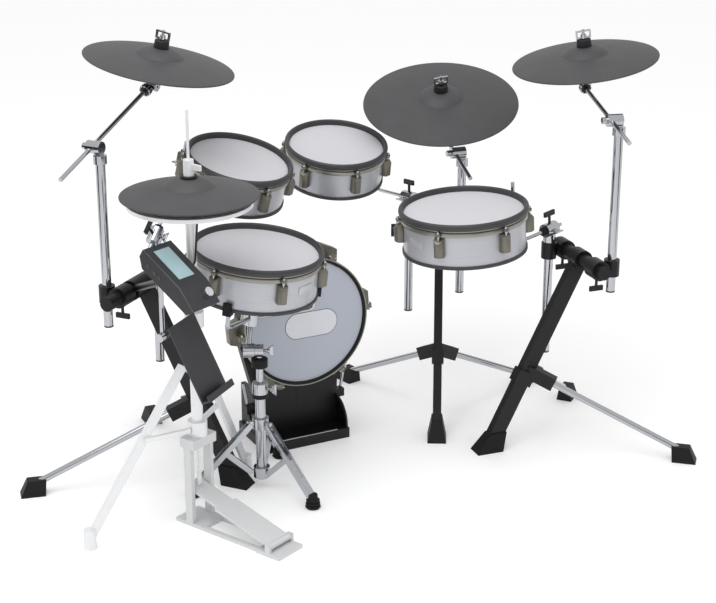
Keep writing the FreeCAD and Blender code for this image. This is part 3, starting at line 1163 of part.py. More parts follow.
# Sound module: X along its length towards the drummer, Z out of its screen
MODULE_LENGTH_WAY = V(0.667, -0.513, -0.54)
MODULE_WIDTH_WAY = V(0.6, 0.797, -0.01)
module_home = framed(spot_of("module"), MODULE_LENGTH_WAY.cross(MODULE_WIDTH_WAY), MODULE_LENGTH_WAY)
half_length = size.module_length / 2
nose_start = half_length - size.module_nose_length
nose_bottom = size.module_nose_drop + size.module_nose_height
case = padded([
    (-half_length, Size(0.0, "0")),
    (nose_start, Size(0.0, "0")),
    (half_length, -size.module_nose_drop),
    (half_length - size.module_heel * HALF_SHARE, -nose_bottom),
    (-half_length + size.module_heel, -size.module_height),
    (-half_length, size.module_heel - size.module_height),
], size.module_width, module_home)
jack_place = module_home.multiply(framed(
    V(-float(size.jack_back), float(size.module_width) / 2 - float(size.overrun), -float(size.jack_down)),
    V(0, 1, 0), ALONG))
jack = cylinder(size.jack_radius, size.jack_length + size.overrun, jack_place)
nose_way = V(float(size.module_nose_length), 0, -float(size.module_nose_drop))
nose_up = unit(V(-nose_way.z, 0, nose_way.x))
dial_point = V(float(nose_start), float(size.dial_aside), 0) + unit(nose_way) * float(size.dial_from_nose)
dial_place = module_home.multiply(framed(dial_point, nose_up, nose_way))
shaft_foot = moved(dial_place, z=-float(size.dial_shaft_length))
dial_bore = through(size.dial_shaft_radius + size.running_gap, size.dial_shaft_length, shaft_foot)
node("module_case", cut(fused(case, jack), dial_bore))
screen_middle = size.screen_from_end + size.screen_length / 2 - half_length
node("module_screen", box(size.screen_length, size.screen_width, size.screen_thickness,
                          moved(module_home, x=float(screen_middle))))
dial = cylinder(size.dial_radius, size.dial_height, moved(dial_place, z=float(size.moving_gap)))
shaft = cylinder(size.dial_shaft_radius, size.dial_shaft_length + size.moving_gap * 2, shaft_foot)
node("module_dial", fused(dial, shaft))

# Mount: clamp on the left bar, arm, and plate under the case
left_home = stand_home("left_stand")
arm_clamp = cylinder(bar_radius + size.clamp_wall, size.clamp_width,
                     bar_place(left_home, size.module_arm_along, size.clamp_width))
plate_top = float(size.module_height + size.seat_gap)
plate_place = moved(module_home, x=-float(size.jack_back), z=-plate_top - float(size.mount_plate_thickness))
mount_plate = box(size.mount_plate_length, size.mount_plate_width, size.mount_plate_thickness, plate_place)
arm_start = left_home.multVec(bar_middle + V(0, float(size.module_arm_along), 0))
arm_end = plate_place.Base
arm = cylinder(size.arm_radius, (arm_end - arm_start).Length, aimed(arm_start, arm_end - arm_start))
case_tool = box(size.module_length, size.module_width, size.module_height,
                moved(plate_place, z=float(size.mount_plate_thickness)))
node("module_mount", cut(fused(arm_clamp, arm, mount_plate), bar_tool(left_home), case_tool))

# Tablet holder: a rod down from the mount plate, with a hinge across its lower end
TABLET_LENGTH_WAY = V(0.393, -0.131, -0.91)
TABLET_WIDTH_WAY = V(0.482, 0.871, 0.083)
tablet_normal = unit(TABLET_LENGTH_WAY.cross(TABLET_WIDTH_WAY))
tablet_home = framed(spot_of("tablet"), tablet_normal, TABLET_LENGTH_WAY)
tablet_across = unit(tablet_normal.cross(TABLET_LENGTH_WAY))
rod_foot = spot_of("tablet_rod")
tablet_rod = cylinder(size.holder_rod_radius, plate_place.Base.z - rod_foot.z, aimed(rod_foot, UP))
plate_gap = size.seat_gap * 2
plate_tool = box(size.mount_plate_length + plate_gap, size.mount_plate_width + plate_gap,
                 size.module_height * 2,
                 moved(plate_place, z=-float(size.seat_gap)))
hub_half = size.tablet_hub_length / 2
fixed_hub = cylinder(size.tablet_hub_radius, hub_half, aimed(rod_foot, -tablet_across))
hub_pin = cylinder(size.pedal_pin_radius, size.tablet_hub_length - size.overrun,
                   aimed(rod_foot - tablet_across * float(hub_half), tablet_across))
hub_clear = cylinder(size.tablet_hub_radius + size.seat_gap * 2, hub_half, aimed(rod_foot, tablet_across))
posts.append(fused(cut(tablet_rod, plate_tool, hub_clear), fixed_hub, hub_pin))
node("posts", *posts)
hub_start = rod_foot + tablet_across * float(size.moving_gap)
moving_hub = cylinder(size.tablet_hub_radius, hub_half, aimed(hub_start, tablet_across))
hub_middle = hub_start + tablet_across * float(hub_half) / 2
arm_length = (tablet_home.Base - hub_middle).dot(tablet_normal)
tablet_arm = cylinder(size.holder_rod_radius, arm_length, aimed(hub_middle, tablet_normal))
tablet_plate = box(size.tablet_length, size.tablet_width, size.tablet_thickness, tablet_home)
ledge = box(size.tablet_thickness, size.tablet_width, size.tablet_ledge + size.tablet_thickness,
            moved(tablet_home, x=float(size.tablet_length) / 2))
lip = box(size.tablet_lip, size.tablet_width, size.tablet_thickness,
          moved(tablet_home, x=float(size.tablet_length) / 2 - float(size.tablet_lip) / 2,
                z=float(size.tablet_ledge)))
hub_bore = through(size.pedal_pin_radius + size.running_gap, hub_half, aimed(hub_start, tablet_across))
node("tablet_holder", fused(cut(fused(moving_hub, tablet_arm), hub_bore), tablet_plate, ledge, lip))

# Hi-hat cable: from the lower disc down behind the module into its side
CABLE_ROUTE = [(-407.5, -489.8, 853.8), (-408.5, -488.8, 825), (-412, -486.2, 780), (-416.2, -483.2, 737),
               (-417.1, -482.5, 716), (-424.6, -492.5, 703.5)]
BEND_SHARE = 0.45
cable_end = jack_place.multVec(V(0, 0, float(size.jack_length + size.overrun + size.moving_gap)))
route = [V(*point) for point in CABLE_ROUTE] + [cable_end]
bends = []
for number in range(1, len(route) - 1):
    back = route[number - 1] - route[number]
    ahead = route[number + 1] - route[number]
    turn = math.pi - back.getAngle(ahead)
    bends.append(min(back.Length, ahead.Length) * BEND_SHARE / math.tan(turn / 2))
cable_path = bent_path(route, bends)
cable = bent_rod(size.cable_diameter / 2, route, bends)
node("hihat_cable", cable)
cable_volume = math.pi * float(size.cable_diameter) ** 2 / 4 * cable_path.Length
print("cable radii", [round(bend, 1) for bend in bends], "length", round(cable_path.Length, 1),
      "volume", round(cable.Shape.Volume), "of", round(cable_volume))

node("rubber_feet", *feet)
node("end_caps", *caps)
node("bar_clamps", *clamps)
node("clamp_bolts", *bolts)


# Checks, then one file for each sub-part
doc.recompute()
for thing in doc.Objects:
    if "Invalid" in thing.State or "Error" in thing.State:
        raise RuntimeError(f"{thing.Label} did not build: {thing.State}")
for thing in nodes:
    if thing.Shape.isNull() or not thing.Shape.isValid():
        raise RuntimeError(f"{thing.Label} has no valid shape")
os.makedirs("parts", exist_ok=True)
for thing in nodes:
    thing.Shape.exportStep(f"parts/{thing.Label}.step")
    print(thing.Label, len(thing.Shape.Solids), round(thing.Shape.Volume))
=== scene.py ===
# Electronic drum kit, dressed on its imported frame.
# Metres, in the frame's axes: +X to the drummer's right, +Y away from the drummer, +Z up.
import json
import math
from collections import namedtuple

import bmesh
import bpy
from mathutils import Matrix, Vector


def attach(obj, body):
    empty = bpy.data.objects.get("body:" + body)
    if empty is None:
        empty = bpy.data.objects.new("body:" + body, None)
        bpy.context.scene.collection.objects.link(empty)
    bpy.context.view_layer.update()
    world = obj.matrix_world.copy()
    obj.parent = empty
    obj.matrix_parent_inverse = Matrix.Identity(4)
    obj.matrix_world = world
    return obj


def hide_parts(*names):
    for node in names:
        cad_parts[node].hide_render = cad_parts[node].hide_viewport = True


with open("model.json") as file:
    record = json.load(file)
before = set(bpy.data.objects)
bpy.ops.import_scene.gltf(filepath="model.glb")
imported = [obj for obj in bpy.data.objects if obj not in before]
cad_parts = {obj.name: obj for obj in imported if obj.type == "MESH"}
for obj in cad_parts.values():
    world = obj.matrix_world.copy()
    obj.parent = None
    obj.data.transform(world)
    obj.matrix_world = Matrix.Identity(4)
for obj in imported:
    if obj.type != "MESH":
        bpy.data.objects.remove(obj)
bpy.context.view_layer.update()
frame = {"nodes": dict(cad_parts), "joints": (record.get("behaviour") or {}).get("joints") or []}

# Studio: a white floor under an even white sky, with one large soft light overhead. The camera
# stands well back with a long lens, a little above head height.
PHOTO_WIDTH_PX = 716
FOCAL_LENGTH_PX = 1700
SENSOR_WIDTH_MM = 36
CAMERA_PLACE = (-0.0185, -4.4328, 2.048)
CAMERA_DOWN_ANGLE = 20
RIGHT_ANGLE = 90
FULL_TURN = 2 * math.pi
scene = bpy.context.scene
scene.view_settings.view_transform = "Standard"


def linked(name, data):
    thing = bpy.data.objects.new(name, data)
    scene.collection.objects.link(thing)
    return thing


camera_data = bpy.data.cameras.new("camera")
camera_data.sensor_width = SENSOR_WIDTH_MM
camera_data.lens = SENSOR_WIDTH_MM * FOCAL_LENGTH_PX / PHOTO_WIDTH_PX
camera = linked("camera", camera_data)
camera.location = CAMERA_PLACE
camera.rotation_euler = (math.radians(RIGHT_ANGLE - CAMERA_DOWN_ANGLE), 0, 0)
scene.camera = camera


SRGB_FULL = 255
SRGB_KNEE = 0.04045
SRGB_SLOPE = 12.92
SRGB_LIFT = 0.055
SRGB_POWER = 2.4


def linear(colour):
    """An sRGB hex colour as linear red, green, blue and alpha."""
    mixed = []
    for start in (1, 3, 5):
        part = int(colour[start:start + 2], 16) / SRGB_FULL
        if part <= SRGB_KNEE:
            mixed.append(part / SRGB_SLOPE)
        else:
            mixed.append(((part + SRGB_LIFT) / (1 + SRGB_LIFT)) ** SRGB_POWER)
    return (*mixed, 1.0)


def add_node(tree, kind, sockets, **settings):
    """A node with its settings, and each named socket set to a value or linked to another node's output."""
    node = tree.nodes.new(kind)
    for name, value in settings.items():
        setattr(node, name, value)
    for name, value in sockets.items():
        if isinstance(value, bpy.types.NodeSocket):
            tree.links.new(value, node.inputs[name])
        else:
            node.inputs[name].default_value = value
    return node


SKY_COLOUR = "#ffffff"
SKY_STRENGTH = 0.86
SKY_SEEN_STRENGTH = 1.0
world = bpy.data.worlds.new("studio")
scene.world = world
world.use_nodes = True
world.node_tree.nodes.clear()
rays = add_node(world.node_tree, "ShaderNodeLightPath", {})
strength = add_node(world.node_tree, "ShaderNodeMapRange", {
    "Value": rays.outputs["Is Camera Ray"],
    "To Min": SKY_STRENGTH,
    "To Max": SKY_SEEN_STRENGTH,
})
sky = add_node(world.node_tree, "ShaderNodeBackground",
               {"Color": linear(SKY_COLOUR), "Strength": strength.outputs["Result"]})
add_node(world.node_tree, "ShaderNodeOutputWorld", {"Surface": sky.outputs["Background"]})

OVERHEAD_SIZE = 2.6
OVERHEAD_POWER = 55
OVERHEAD_PLACE = (-0.7, -1.2, 3.4)
OVERHEAD_LEAN = (math.radians(18), math.radians(-10), 0)
overhead_data = bpy.data.lights.new("overhead", "AREA")
overhead_data.size = OVERHEAD_SIZE
overhead_data.energy = OVERHEAD_POWER
overhead = linked("overhead", overhead_data)
overhead.location = OVERHEAD_PLACE
overhead.rotation_euler = OVERHEAD_LEAN


def new_material(name):
    material = bpy.data.materials.new(name)
    material.use_nodes = True
    material.node_tree.nodes.clear()
    return material, material.node_tree


def finish_material(tree, sockets):
    surface = add_node(tree, "ShaderNodeBsdfPrincipled", sockets)
    add_node(tree, "ShaderNodeOutputMaterial", {"Surface": surface.outputs["BSDF"]})


SMOOTH_ANGLE = math.radians(32)


def made(name, shape, material):
    """The finished mesh as an object at the origin, smooth but for its sharp edges."""
    mesh = bpy.data.meshes.new(name)
    shape.to_mesh(mesh)
    shape.free()
    mesh.materials.append(material)
    mesh.shade_smooth()
    mesh.set_sharp_from_angle(angle=SMOOTH_ANGLE)
    return linked(name, mesh)


def turned(place, angle, axis):
    """A place turned about one of its own axes."""
    return place @ Matrix.Rotation(angle, 4, axis)


def shifted(place, x=0, y=0, z=0):
    """A place moved along its own axes."""
    return place @ Matrix.Translation((x, y, z))


FLOOR_HALF = 12.0
FLOOR_GLOW = 0.16
floor_paint, tree = new_material("white vinyl sweep")
finish_material(tree, {"Base Color": linear("#f6f6f6"), "Roughness": 0.7, "Specular IOR Level": 0.1,
                       "Emission Color": linear("#ffffff"), "Emission Strength": FLOOR_GLOW})
shape = bmesh.new()
bmesh.ops.create_grid(shape, x_segments=1, y_segments=1, size=FLOOR_HALF)
made("floor", shape, floor_paint)
CARD_HEIGHT = 1.5
CARD_LENGTH = 2.2
CARD_SPOTS = ((-2.7, -1.6, 68), (2.6, -1.7, 112), (-2.5, 1.9, 130), (2.7, 1.8, 52), (1.5, -4.2, 8),
              (-1.9, -3.9, -10))
card_paint, tree = new_material("black flag cloth")
finish_material(tree, {"Base Color": linear("#0c0c0c"), "Roughness": 0.9})
for number, (x, y, heading) in enumerate(CARD_SPOTS):
    shape = bmesh.new()
    bmesh.ops.create_grid(shape, x_segments=1, y_segments=1, size=1 / 2)
    bmesh.ops.scale(shape, vec=(CARD_LENGTH, CARD_HEIGHT, 1), verts=shape.verts)
    spot = turned(Matrix.Translation((x, y, CARD_HEIGHT / 2)), math.radians(heading), "Z")
    bmesh.ops.transform(shape, matrix=turned(spot, math.radians(RIGHT_ANGLE), "X"), verts=shape.verts)
    card = made(f"card_{number}", shape, card_paint)
    card.visible_camera = False
    card.visible_diffuse = False
    card.visible_shadow = False
    card.visible_transmission = False

# Rack stands: rectangular steel legs, round top bars and welded brackets, all powder coated black.
# The coat is matt with a fine orange-peel skin that breaks up its gloss; edges are slightly rounded.
MM = 0.001
CLOUD_MM = 60
ROUGHNESS_DRIFT = 0.06
EDGE_SAMPLES = 4


def object_grain(tree, size_mm, detail=2.0):
    """Noise with lumps of this size, on the piece's own coordinates."""
    spots = add_node(tree, "ShaderNodeTexCoord", {})
    return add_node(tree, "ShaderNodeTexNoise",
                    {"Vector": spots.outputs["Object"], "Scale": 1 / (size_mm * MM), "Detail": detail})


def coated(name, dark, light, roughness, lump_mm, depth_mm, edge_mm, metallic=0.0, gloss=0.5):
    """An opaque skin: colour drifting between two near tones, a lumpy surface and worn, rounded edges."""
    material, tree = new_material(name)
    cloud = object_grain(tree, CLOUD_MM)
    lumps = object_grain(tree, lump_mm)
    ramp = add_node(tree, "ShaderNodeValToRGB", {"Fac": cloud.outputs["Fac"]})
    ramp.color_ramp.elements[0].color = linear(dark)
    ramp.color_ramp.elements[1].color = linear(light)
    gleam = add_node(tree, "ShaderNodeMapRange", {
        "Value": lumps.outputs["Fac"],
        "To Min": roughness - ROUGHNESS_DRIFT,
        "To Max": roughness + ROUGHNESS_DRIFT,
    })
    edge = add_node(tree, "ShaderNodeBevel", {"Radius": edge_mm * MM}, samples=EDGE_SAMPLES)
    bump = add_node(tree, "ShaderNodeBump", {"Height": lumps.outputs["Fac"], "Distance": depth_mm * MM,
                                             "Normal": edge.outputs["Normal"]})
    finish_material(tree, {
        "Base Color": ramp.outputs["Color"],
        "Roughness": gleam.outputs["Result"],
        "Metallic": metallic,
        "Specular IOR Level": gloss,
        "Normal": bump.outputs["Normal"],
    })
    return material


def paint(material, *nodes):
    """Gives kept solids their finish."""
    for node in nodes:
        for slot in frame["nodes"][node].material_slots:
            slot.material = material


powder_coat = coated("black powder coat on steel", "#0d0d0f", "#151517", roughness=0.46,
                     lump_mm=1.2, depth_mm=0.03, edge_mm=1.2, gloss=0.35)
paint(powder_coat, "stand_legs", "stand_top_bars", "stand_brackets")

# Feet, caps, bar clamps and their wing bolts: black glass-filled nylon and moulded rubber.
# Both come out of the mould with a fine spark-eroded grain and a soft, low gloss.
nylon = coated("black glass-filled nylon", "#0b0b0c", "#121214", roughness=0.4,
               lump_mm=0.9, depth_mm=0.04, edge_mm=1.5, gloss=0.35)
foot_rubber = coated("black moulded rubber", "#0b0b0b", "#121212", roughness=0.6,
                     lump_mm=0.8, depth_mm=0.05, edge_mm=2.0, gloss=0.3)
paint(nylon, "end_caps", "bar_clamps", "clamp_bolts")
paint(foot_rubber, "rubber_feet")

# Sloping tubes, posts and the clamps on them: drawn steel tube and die castings, chrome plated.
# Chrome mirrors the room; a faint waviness from polishing keeps its reflections from being perfect.
WAVE_MM = 25
WAVE_DEPTH_MM = 0.02
HAZE_MM = WAVE_MM / 8
CHROME_EDGE_MM = 0.9
CHROME_SMOOTH = 0.05
CHROME_HAZY = 0.13
chrome, tree = new_material("polished chrome plate")
waves = object_grain(tree, WAVE_MM, detail=0.0)
haze = object_grain(tree, HAZE_MM)
edge = add_node(tree, "ShaderNodeBevel", {"Radius": CHROME_EDGE_MM * MM}, samples=EDGE_SAMPLES)
bump = add_node(tree, "ShaderNodeBump", {"Height": waves.outputs["Fac"], "Distance": WAVE_DEPTH_MM * MM,
                                         "Normal": edge.outputs["Normal"]})
gleam = add_node(tree, "ShaderNodeMapRange",
                 {"Value": haze.outputs["Fac"], "To Min": CHROME_SMOOTH, "To Max": CHROME_HAZY})
finish_material(tree, {
    "Base Color": linear("#b4b6ba"),
    "Metallic": 1.0,
    "Roughness": gleam.outputs["Result"],
    "Normal": bump.outputs["Normal"],
})
paint(chrome, "stand_tubes", "posts", "post_clamps", "tom_left_l_rod", "tom_right_l_rod", "floor_tom_l_rod")

# Booms and tilters: chrome rods and discs that set the height and lean of each cymbal pad.
# A fluted lock knob of black nylon sits on each boom just below its tilter.
CYMBALS = ("crash_left", "crash_right", "ride")
DISC_STEP = 14.4 * MM
ROD_ASIDE = 22.9 * MM
LOCK_FROM_END = 18 * MM
LOCK_LENGTH = 16 * MM
LOCK_RADIUS = 16.6 * MM
LOCK_EDGE = 2.2 * MM
LOCK_COVER = MM / 4
FLUTE_COUNT = 10
FLUTE_POINTS = 4
FLUTE_SHARE = 0.87
WELD_GAP = MM / 1000


def stood(point, z_axis, x_axis=(1, 0, 0)):
    """A place with its Z along one direction and its X near another."""
    up = Vector(z_axis).normalized()
    ahead = (Vector(x_axis) - up * up.dot(Vector(x_axis))).normalized()
    turn = Matrix((ahead, up.cross(ahead), up)).transposed().to_4x4()
    return Matrix.Translation(point) @ turn


def joint_named(name):
    return next(joint for joint in frame["joints"] if joint["name"] == name)


def add_form(shape, form, place):
    """Closes a form's seams, turns its faces outwards, moves it to its place and adds it to a piece."""
    bmesh.ops.remove_doubles(form, verts=form.verts, dist=WELD_GAP)
    bmesh.ops.recalc_face_normals(form, faces=form.faces)
    bmesh.ops.transform(form, matrix=place, verts=form.verts)
    mesh = bpy.data.meshes.new("form")
    form.to_mesh(mesh)
    form.free()
    shape.from_mesh(mesh)
    bpy.data.meshes.remove(mesh)


def add_lathe(shape, outline, place, steps=128, rounding=0):
    """A turned form: a closed run of (radius, height) points, corners rounded, spun about the place's Z."""
    form = bmesh.new()
    corners = [form.verts.new((radius, 0, height)) for radius, height in outline]
    for first, last in zip(corners, corners[1:] + corners[:1]):
        if first.co.x or last.co.x:
            form.edges.new((first, last))
    if rounding:
        bends = [corner for corner in corners if corner.co.x]
        bmesh.ops.bevel(form, geom=bends, offset=rounding, affect="VERTICES", segments=3, profile=0.5,
                        material=-1, clamp_overlap=True)
    bmesh.ops.spin(form, geom=form.verts[:] + form.edges[:], cent=(0, 0, 0), axis=(0, 0, 1), angle=FULL_TURN,
                   steps=steps, use_merge=True)
    add_form(shape, form, place)


def add_rod(shape, place, radius, length, edge, steps=24):
    """A round bar standing on its place, with rounded ends; few steps give a nut."""
    add_lathe(shape, [(0, 0), (radius, 0), (radius, length), (0, length)], place, steps, edge)


def pull_out(form, faces, step):
    """Extrudes flat faces along a step into a solid."""
    grown = bmesh.ops.extrude_face_region(form, geom=faces)["geom"]
    moved = [item for item in grown if isinstance(item, bmesh.types.BMVert)]
    bmesh.ops.translate(form, vec=step, verts=moved)


def round_edges(form, lines, radius):
    """Rounds these edges in two facets."""
    bmesh.ops.bevel(form, geom=lines, offset=radius, affect="EDGES", segments=2, profile=0.5, material=-1)


def add_knob(shape, place, radius, length, edge):
    """A knob with flutes pressed into its rim, standing on its place."""
    form = bmesh.new()
    points = FLUTE_COUNT * FLUTE_POINTS
    disc = bmesh.ops.create_circle(form, cap_ends=True, radius=radius, segments=points)["verts"]
    for corner in disc[::FLUTE_POINTS]:
        corner.co *= FLUTE_SHARE
    pull_out(form, form.faces[:], (0, 0, length))
    rims = [line for line in form.edges if abs(line.verts[0].co.z - line.verts[1].co.z) < length / 2]
    round_edges(form, rims, edge)
    add_form(shape, form, place)


for cymbal in CYMBALS:
    paint(chrome, f"{cymbal}_boom", f"{cymbal}_tilter")
    hinge = joint_named(f"{cymbal}_boom_hinge")
    tilt = joint_named(f"{cymbal}_tilt")
    boom_end = Vector(tilt["pos_m"]) + Vector(tilt["axis"]).normalized() * DISC_STEP
    crossing = Vector(hinge["pos_m"]) + Vector(hinge["axis"]).normalized() * ROD_ASIDE
    way = (boom_end - crossing).normalized()
    lock_foot = boom_end - way * (LOCK_FROM_END + LOCK_LENGTH + LOCK_COVER)
    shape = bmesh.new()
    add_knob(shape, stood(lock_foot, way), LOCK_RADIUS, LOCK_LENGTH + LOCK_COVER * 2, LOCK_EDGE)
    lock = made(f"{cymbal}_lock_knob", shape, nylon)
    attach(lock, f"{cymbal}_boom")


# Cymbal pads: a stiff core under a skin of moulded dark grey rubber, with a bell in the middle.
# The skin is matt, with fine turned rings, and a stippled band along the edge where it is choked by hand.
# A black rubber sleeve on the bell and a felt below it hold the pad on its stem.
def arc_points(start, end, radius, hand, steps):
    """Points along an arc between two (radius, height) points, without its first point."""
    first = Vector(start)
    last = Vector(end)
    half = (last - first) / 2
    bulge = math.sqrt(max(0, radius ** 2 - half.length ** 2))
    middle = first + half + Vector((-half.y, half.x)).normalized() * hand * bulge
    begin = math.atan2(first.y - middle.y, first.x - middle.x)
    sweep = math.atan2(last.y - middle.y, last.x - middle.x) - begin
    sweep = (sweep + FULL_TURN / 2) % FULL_TURN - FULL_TURN / 2
    turns = [begin + sweep * (number + 1) / steps for number in range(steps)]
    return [(middle.x + radius * math.cos(turn), middle.y + radius * math.sin(turn)) for turn in turns]


BOW_RISE = 26 * MM
BELL_RISE = 20 * MM
BELL_RADIUS = 66 * MM
BELL_TOP_RADIUS = 24 * MM
BELL_ROUND = 74 * MM
BOW_ROUND = 690 * MM
PAD_THICKNESS = 7 * MM
PAD_EDGE = 5 * MM
PAD_HOLE_RADIUS = 5.6 * MM
EDGE_ROUND = 2 * MM
STEM_TO_PIVOT = BOW_RISE + BELL_RISE - PAD_THICKNESS / 2
RING_PITCH_MM = 2.4
RING_DEPTH_MM = 0.05
STIPPLE_MM = 4.0
STIPPLE_DEPTH_MM = 0.5
STIPPLE_WIDTH = 16 * MM
PIP_CORE = 0.25
PIP_EDGE = 0.45
PAD_CLOUD_MM = 45
PAD_GRAIN_MM = 0.8
PAD_SMOOTH = 0.5
PAD_ROUGH = 0.62


def centred_on(tree, place):
    """The place's own coordinates, for a pattern that is turned or centred on it."""
    spots = add_node(tree, "ShaderNodeTexCoord", {})
    inverse = place.inverted()
    return add_node(tree, "ShaderNodeMapping", {"Vector": spots.outputs["Object"],
                                                "Location": inverse.to_translation(),
                                                "Rotation": inverse.to_euler()})


def pad_rubber(name, place, radius):
    """Grey rubber with turned rings round the pad's own axis and a stippled band at its edge."""
    material, tree = new_material(name)
    centred = centred_on(tree, place)
    flat = add_node(tree, "ShaderNodeVectorMath", {0: centred.outputs["Vector"], 1: (1, 1, 0)},
                    operation="MULTIPLY")
    reach = add_node(tree, "ShaderNodeVectorMath", {0: flat.outputs["Vector"]}, operation="LENGTH")
    turns = add_node(tree, "ShaderNodeMath", {0: reach.outputs["Value"], 1: FULL_TURN / (RING_PITCH_MM * MM)},
                     operation="MULTIPLY")
    rings = add_node(tree, "ShaderNodeMath", {0: turns.outputs["Value"]}, operation="SINE")
    dots = add_node(tree, "ShaderNodeTexVoronoi", {"Vector": centred.outputs["Vector"],
                                                   "Scale": 1 / (STIPPLE_MM * MM), "Randomness": 0.2})
    band = add_node(tree, "ShaderNodeMapRange", {
        "Value": reach.outputs["Value"],
        "From Min": radius - STIPPLE_WIDTH,
        "From Max": radius - STIPPLE_WIDTH + EDGE_ROUND,
    })
    pips = add_node(tree, "ShaderNodeMapRange", {"Value": dots.outputs["Distance"], "From Min": PIP_CORE,
                                                 "From Max": PIP_EDGE, "To Min": 1.0, "To Max": 0.0})
    stipple = add_node(tree, "ShaderNodeMath", {0: pips.outputs["Result"], 1: band.outputs["Result"]},
                       operation="MULTIPLY")
    cloud = object_grain(tree, PAD_CLOUD_MM)
    ramp = add_node(tree, "ShaderNodeValToRGB", {"Fac": cloud.outputs["Fac"]})
    ramp.color_ramp.elements[0].color = linear("#3c3c3e")
    ramp.color_ramp.elements[1].color = linear("#464648")
    fine = object_grain(tree, PAD_GRAIN_MM)
    gleam = add_node(tree, "ShaderNodeMapRange",
                     {"Value": fine.outputs["Fac"], "To Min": PAD_SMOOTH, "To Max": PAD_ROUGH})
    turned_bump = add_node(tree, "ShaderNodeBump", {"Height": rings.outputs["Value"],
                                                    "Distance": RING_DEPTH_MM * MM})
    bump = add_node(tree, "ShaderNodeBump", {
        "Height": stipple.outputs["Value"],
        "Distance": STIPPLE_DEPTH_MM * MM,
        "Normal": turned_bump.outputs["Normal"],
    })
    finish_material(tree, {"Base Color": ramp.outputs["Color"], "Roughness": gleam.outputs["Result"],
                           "Normal": bump.outputs["Normal"]})
    return material


UNDER_BELL_STEPS = 6
UNDER_BOW_STEPS = 10
EDGE_STEPS = 6
BOW_STEPS = 12
BELL_STEPS = 8


def pad_profile(radius, hole_radius):
    """The pad's half section, from the hole's lower edge round the rim to its upper edge."""
    top = BOW_RISE + BELL_RISE
    inner_bell = (BELL_RADIUS - PAD_THICKNESS / 2, BOW_RISE - PAD_THICKNESS)
    outline = [(hole_radius, top - PAD_THICKNESS), (BELL_TOP_RADIUS, top - PAD_THICKNESS)]
    arcs = (
        (inner_bell, BELL_ROUND - PAD_THICKNESS, -1, UNDER_BELL_STEPS),
        ((radius - EDGE_ROUND, 0), BOW_ROUND, -1, UNDER_BOW_STEPS),
        ((radius - EDGE_ROUND, PAD_EDGE), PAD_EDGE / 2, 1, EDGE_STEPS),
        ((BELL_RADIUS, BOW_RISE), BOW_ROUND, 1, BOW_STEPS),
        ((BELL_TOP_RADIUS, top), BELL_ROUND, 1, BELL_STEPS),
    )
    for end, bend, hand, steps in arcs:
        outline += arc_points(outline[-1], end, bend, hand, steps)
    outline.append((hole_radius, top))
    return outline


FELT_RADIUS = 12.8 * MM
FELT_SEAT_RADIUS = 7.4 * MM
FELT_BORE = 6.45 * MM
FELT_HEIGHT = 15 * MM
FELT_STEPS = 48
SLEEVE_RADIUS = 21 * MM
SLEEVE_TOP_RADIUS = 19.4 * MM
SLEEVE_BORE = 7.3 * MM
SLEEVE_HEIGHT = 21 * MM
SLEEVE_ROUND = 1.4 * MM
WASHER_STEPS = 64
washer_rubber = coated("black moulded washer rubber", "#0b0b0b", "#121212", roughness=0.55,
                       lump_mm=0.8, depth_mm=0.05, edge_mm=1.0)
PAD_RADIUS = {"crash_left": 203 * MM, "crash_right": 203 * MM, "ride": 228.5 * MM}
for cymbal in CYMBALS:
    tilt = joint_named(f"{cymbal}_tilt")
    pivot = Vector(joint_named(f"{cymbal}_rock")["pos_m"])
    lean = (pivot - Vector(tilt["pos_m"])).normalized()
    place = stood(pivot - lean * STEM_TO_PIVOT, lean, tilt["axis"])
    radius = PAD_RADIUS[cymbal]
    shape = bmesh.new()
    add_lathe(shape, pad_profile(radius, PAD_HOLE_RADIUS), place)
    skin = made(f"{cymbal}_skin", shape, pad_rubber(f"{cymbal} moulded grey rubber", place, radius))
    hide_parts(f"{cymbal}_pad")
    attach(skin, f"{cymbal}_pad")
    shape = bmesh.new()
    top = BOW_RISE + BELL_RISE
    add_lathe(shape, [(SLEEVE_BORE, top), (SLEEVE_RADIUS, top), (SLEEVE_TOP_RADIUS, top + SLEEVE_HEIGHT),
                      (SLEEVE_BORE, top + SLEEVE_HEIGHT)], place, WASHER_STEPS, SLEEVE_ROUND)
    under = top - PAD_THICKNESS
    add_lathe(shape, [(FELT_BORE, under), (FELT_RADIUS, under), (FELT_SEAT_RADIUS, under - FELT_HEIGHT),
                      (FELT_BORE, under - FELT_HEIGHT)], place, FELT_STEPS)
    washers = made(f"{cymbal}_washers", shape, washer_rubber)
    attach(washers, f"{cymbal}_pad")

# Drum shells: plywood rings in a wrap of brushed silver laminate under clear lacquer.
# The brush marks run round the shell, so light draws broad upright streaks across it.
# A drum's row has the middle of its top, its lean, rim radius and height, and its first lug's angle.
Drum = namedtuple("Drum", "top_mm lean rim_radius height first_lug")
DRUMS = {
    "snare": Drum((-278.5, -241.8, 676), (0.104, -0.052, 1), 175 * MM, 125 * MM, -4.4),
    "tom_left": Drum((-338.5, 44.2, 839), (0.239, -0.169, 1), 150 * MM, 116 * MM, 6),
    "tom_right": Drum((-80.5, 343.2, 802), (0.081, -0.215, 1), 150 * MM, 116 * MM, -5.5),
    "floor_tom": Drum((262.5, -83.8, 740), (-0.057, -0.024, 1), 175 * MM, 125 * MM, 4.7),
}
BRUSH_MM = 1.6
BRUSH_STRETCH = 40
WRAP_SMOOTH = 0.3
WRAP_ROUGH = 0.42
drum_places = {name: stood(Vector(drum.top_mm) * MM, drum.lean) for name, drum in DRUMS.items()}


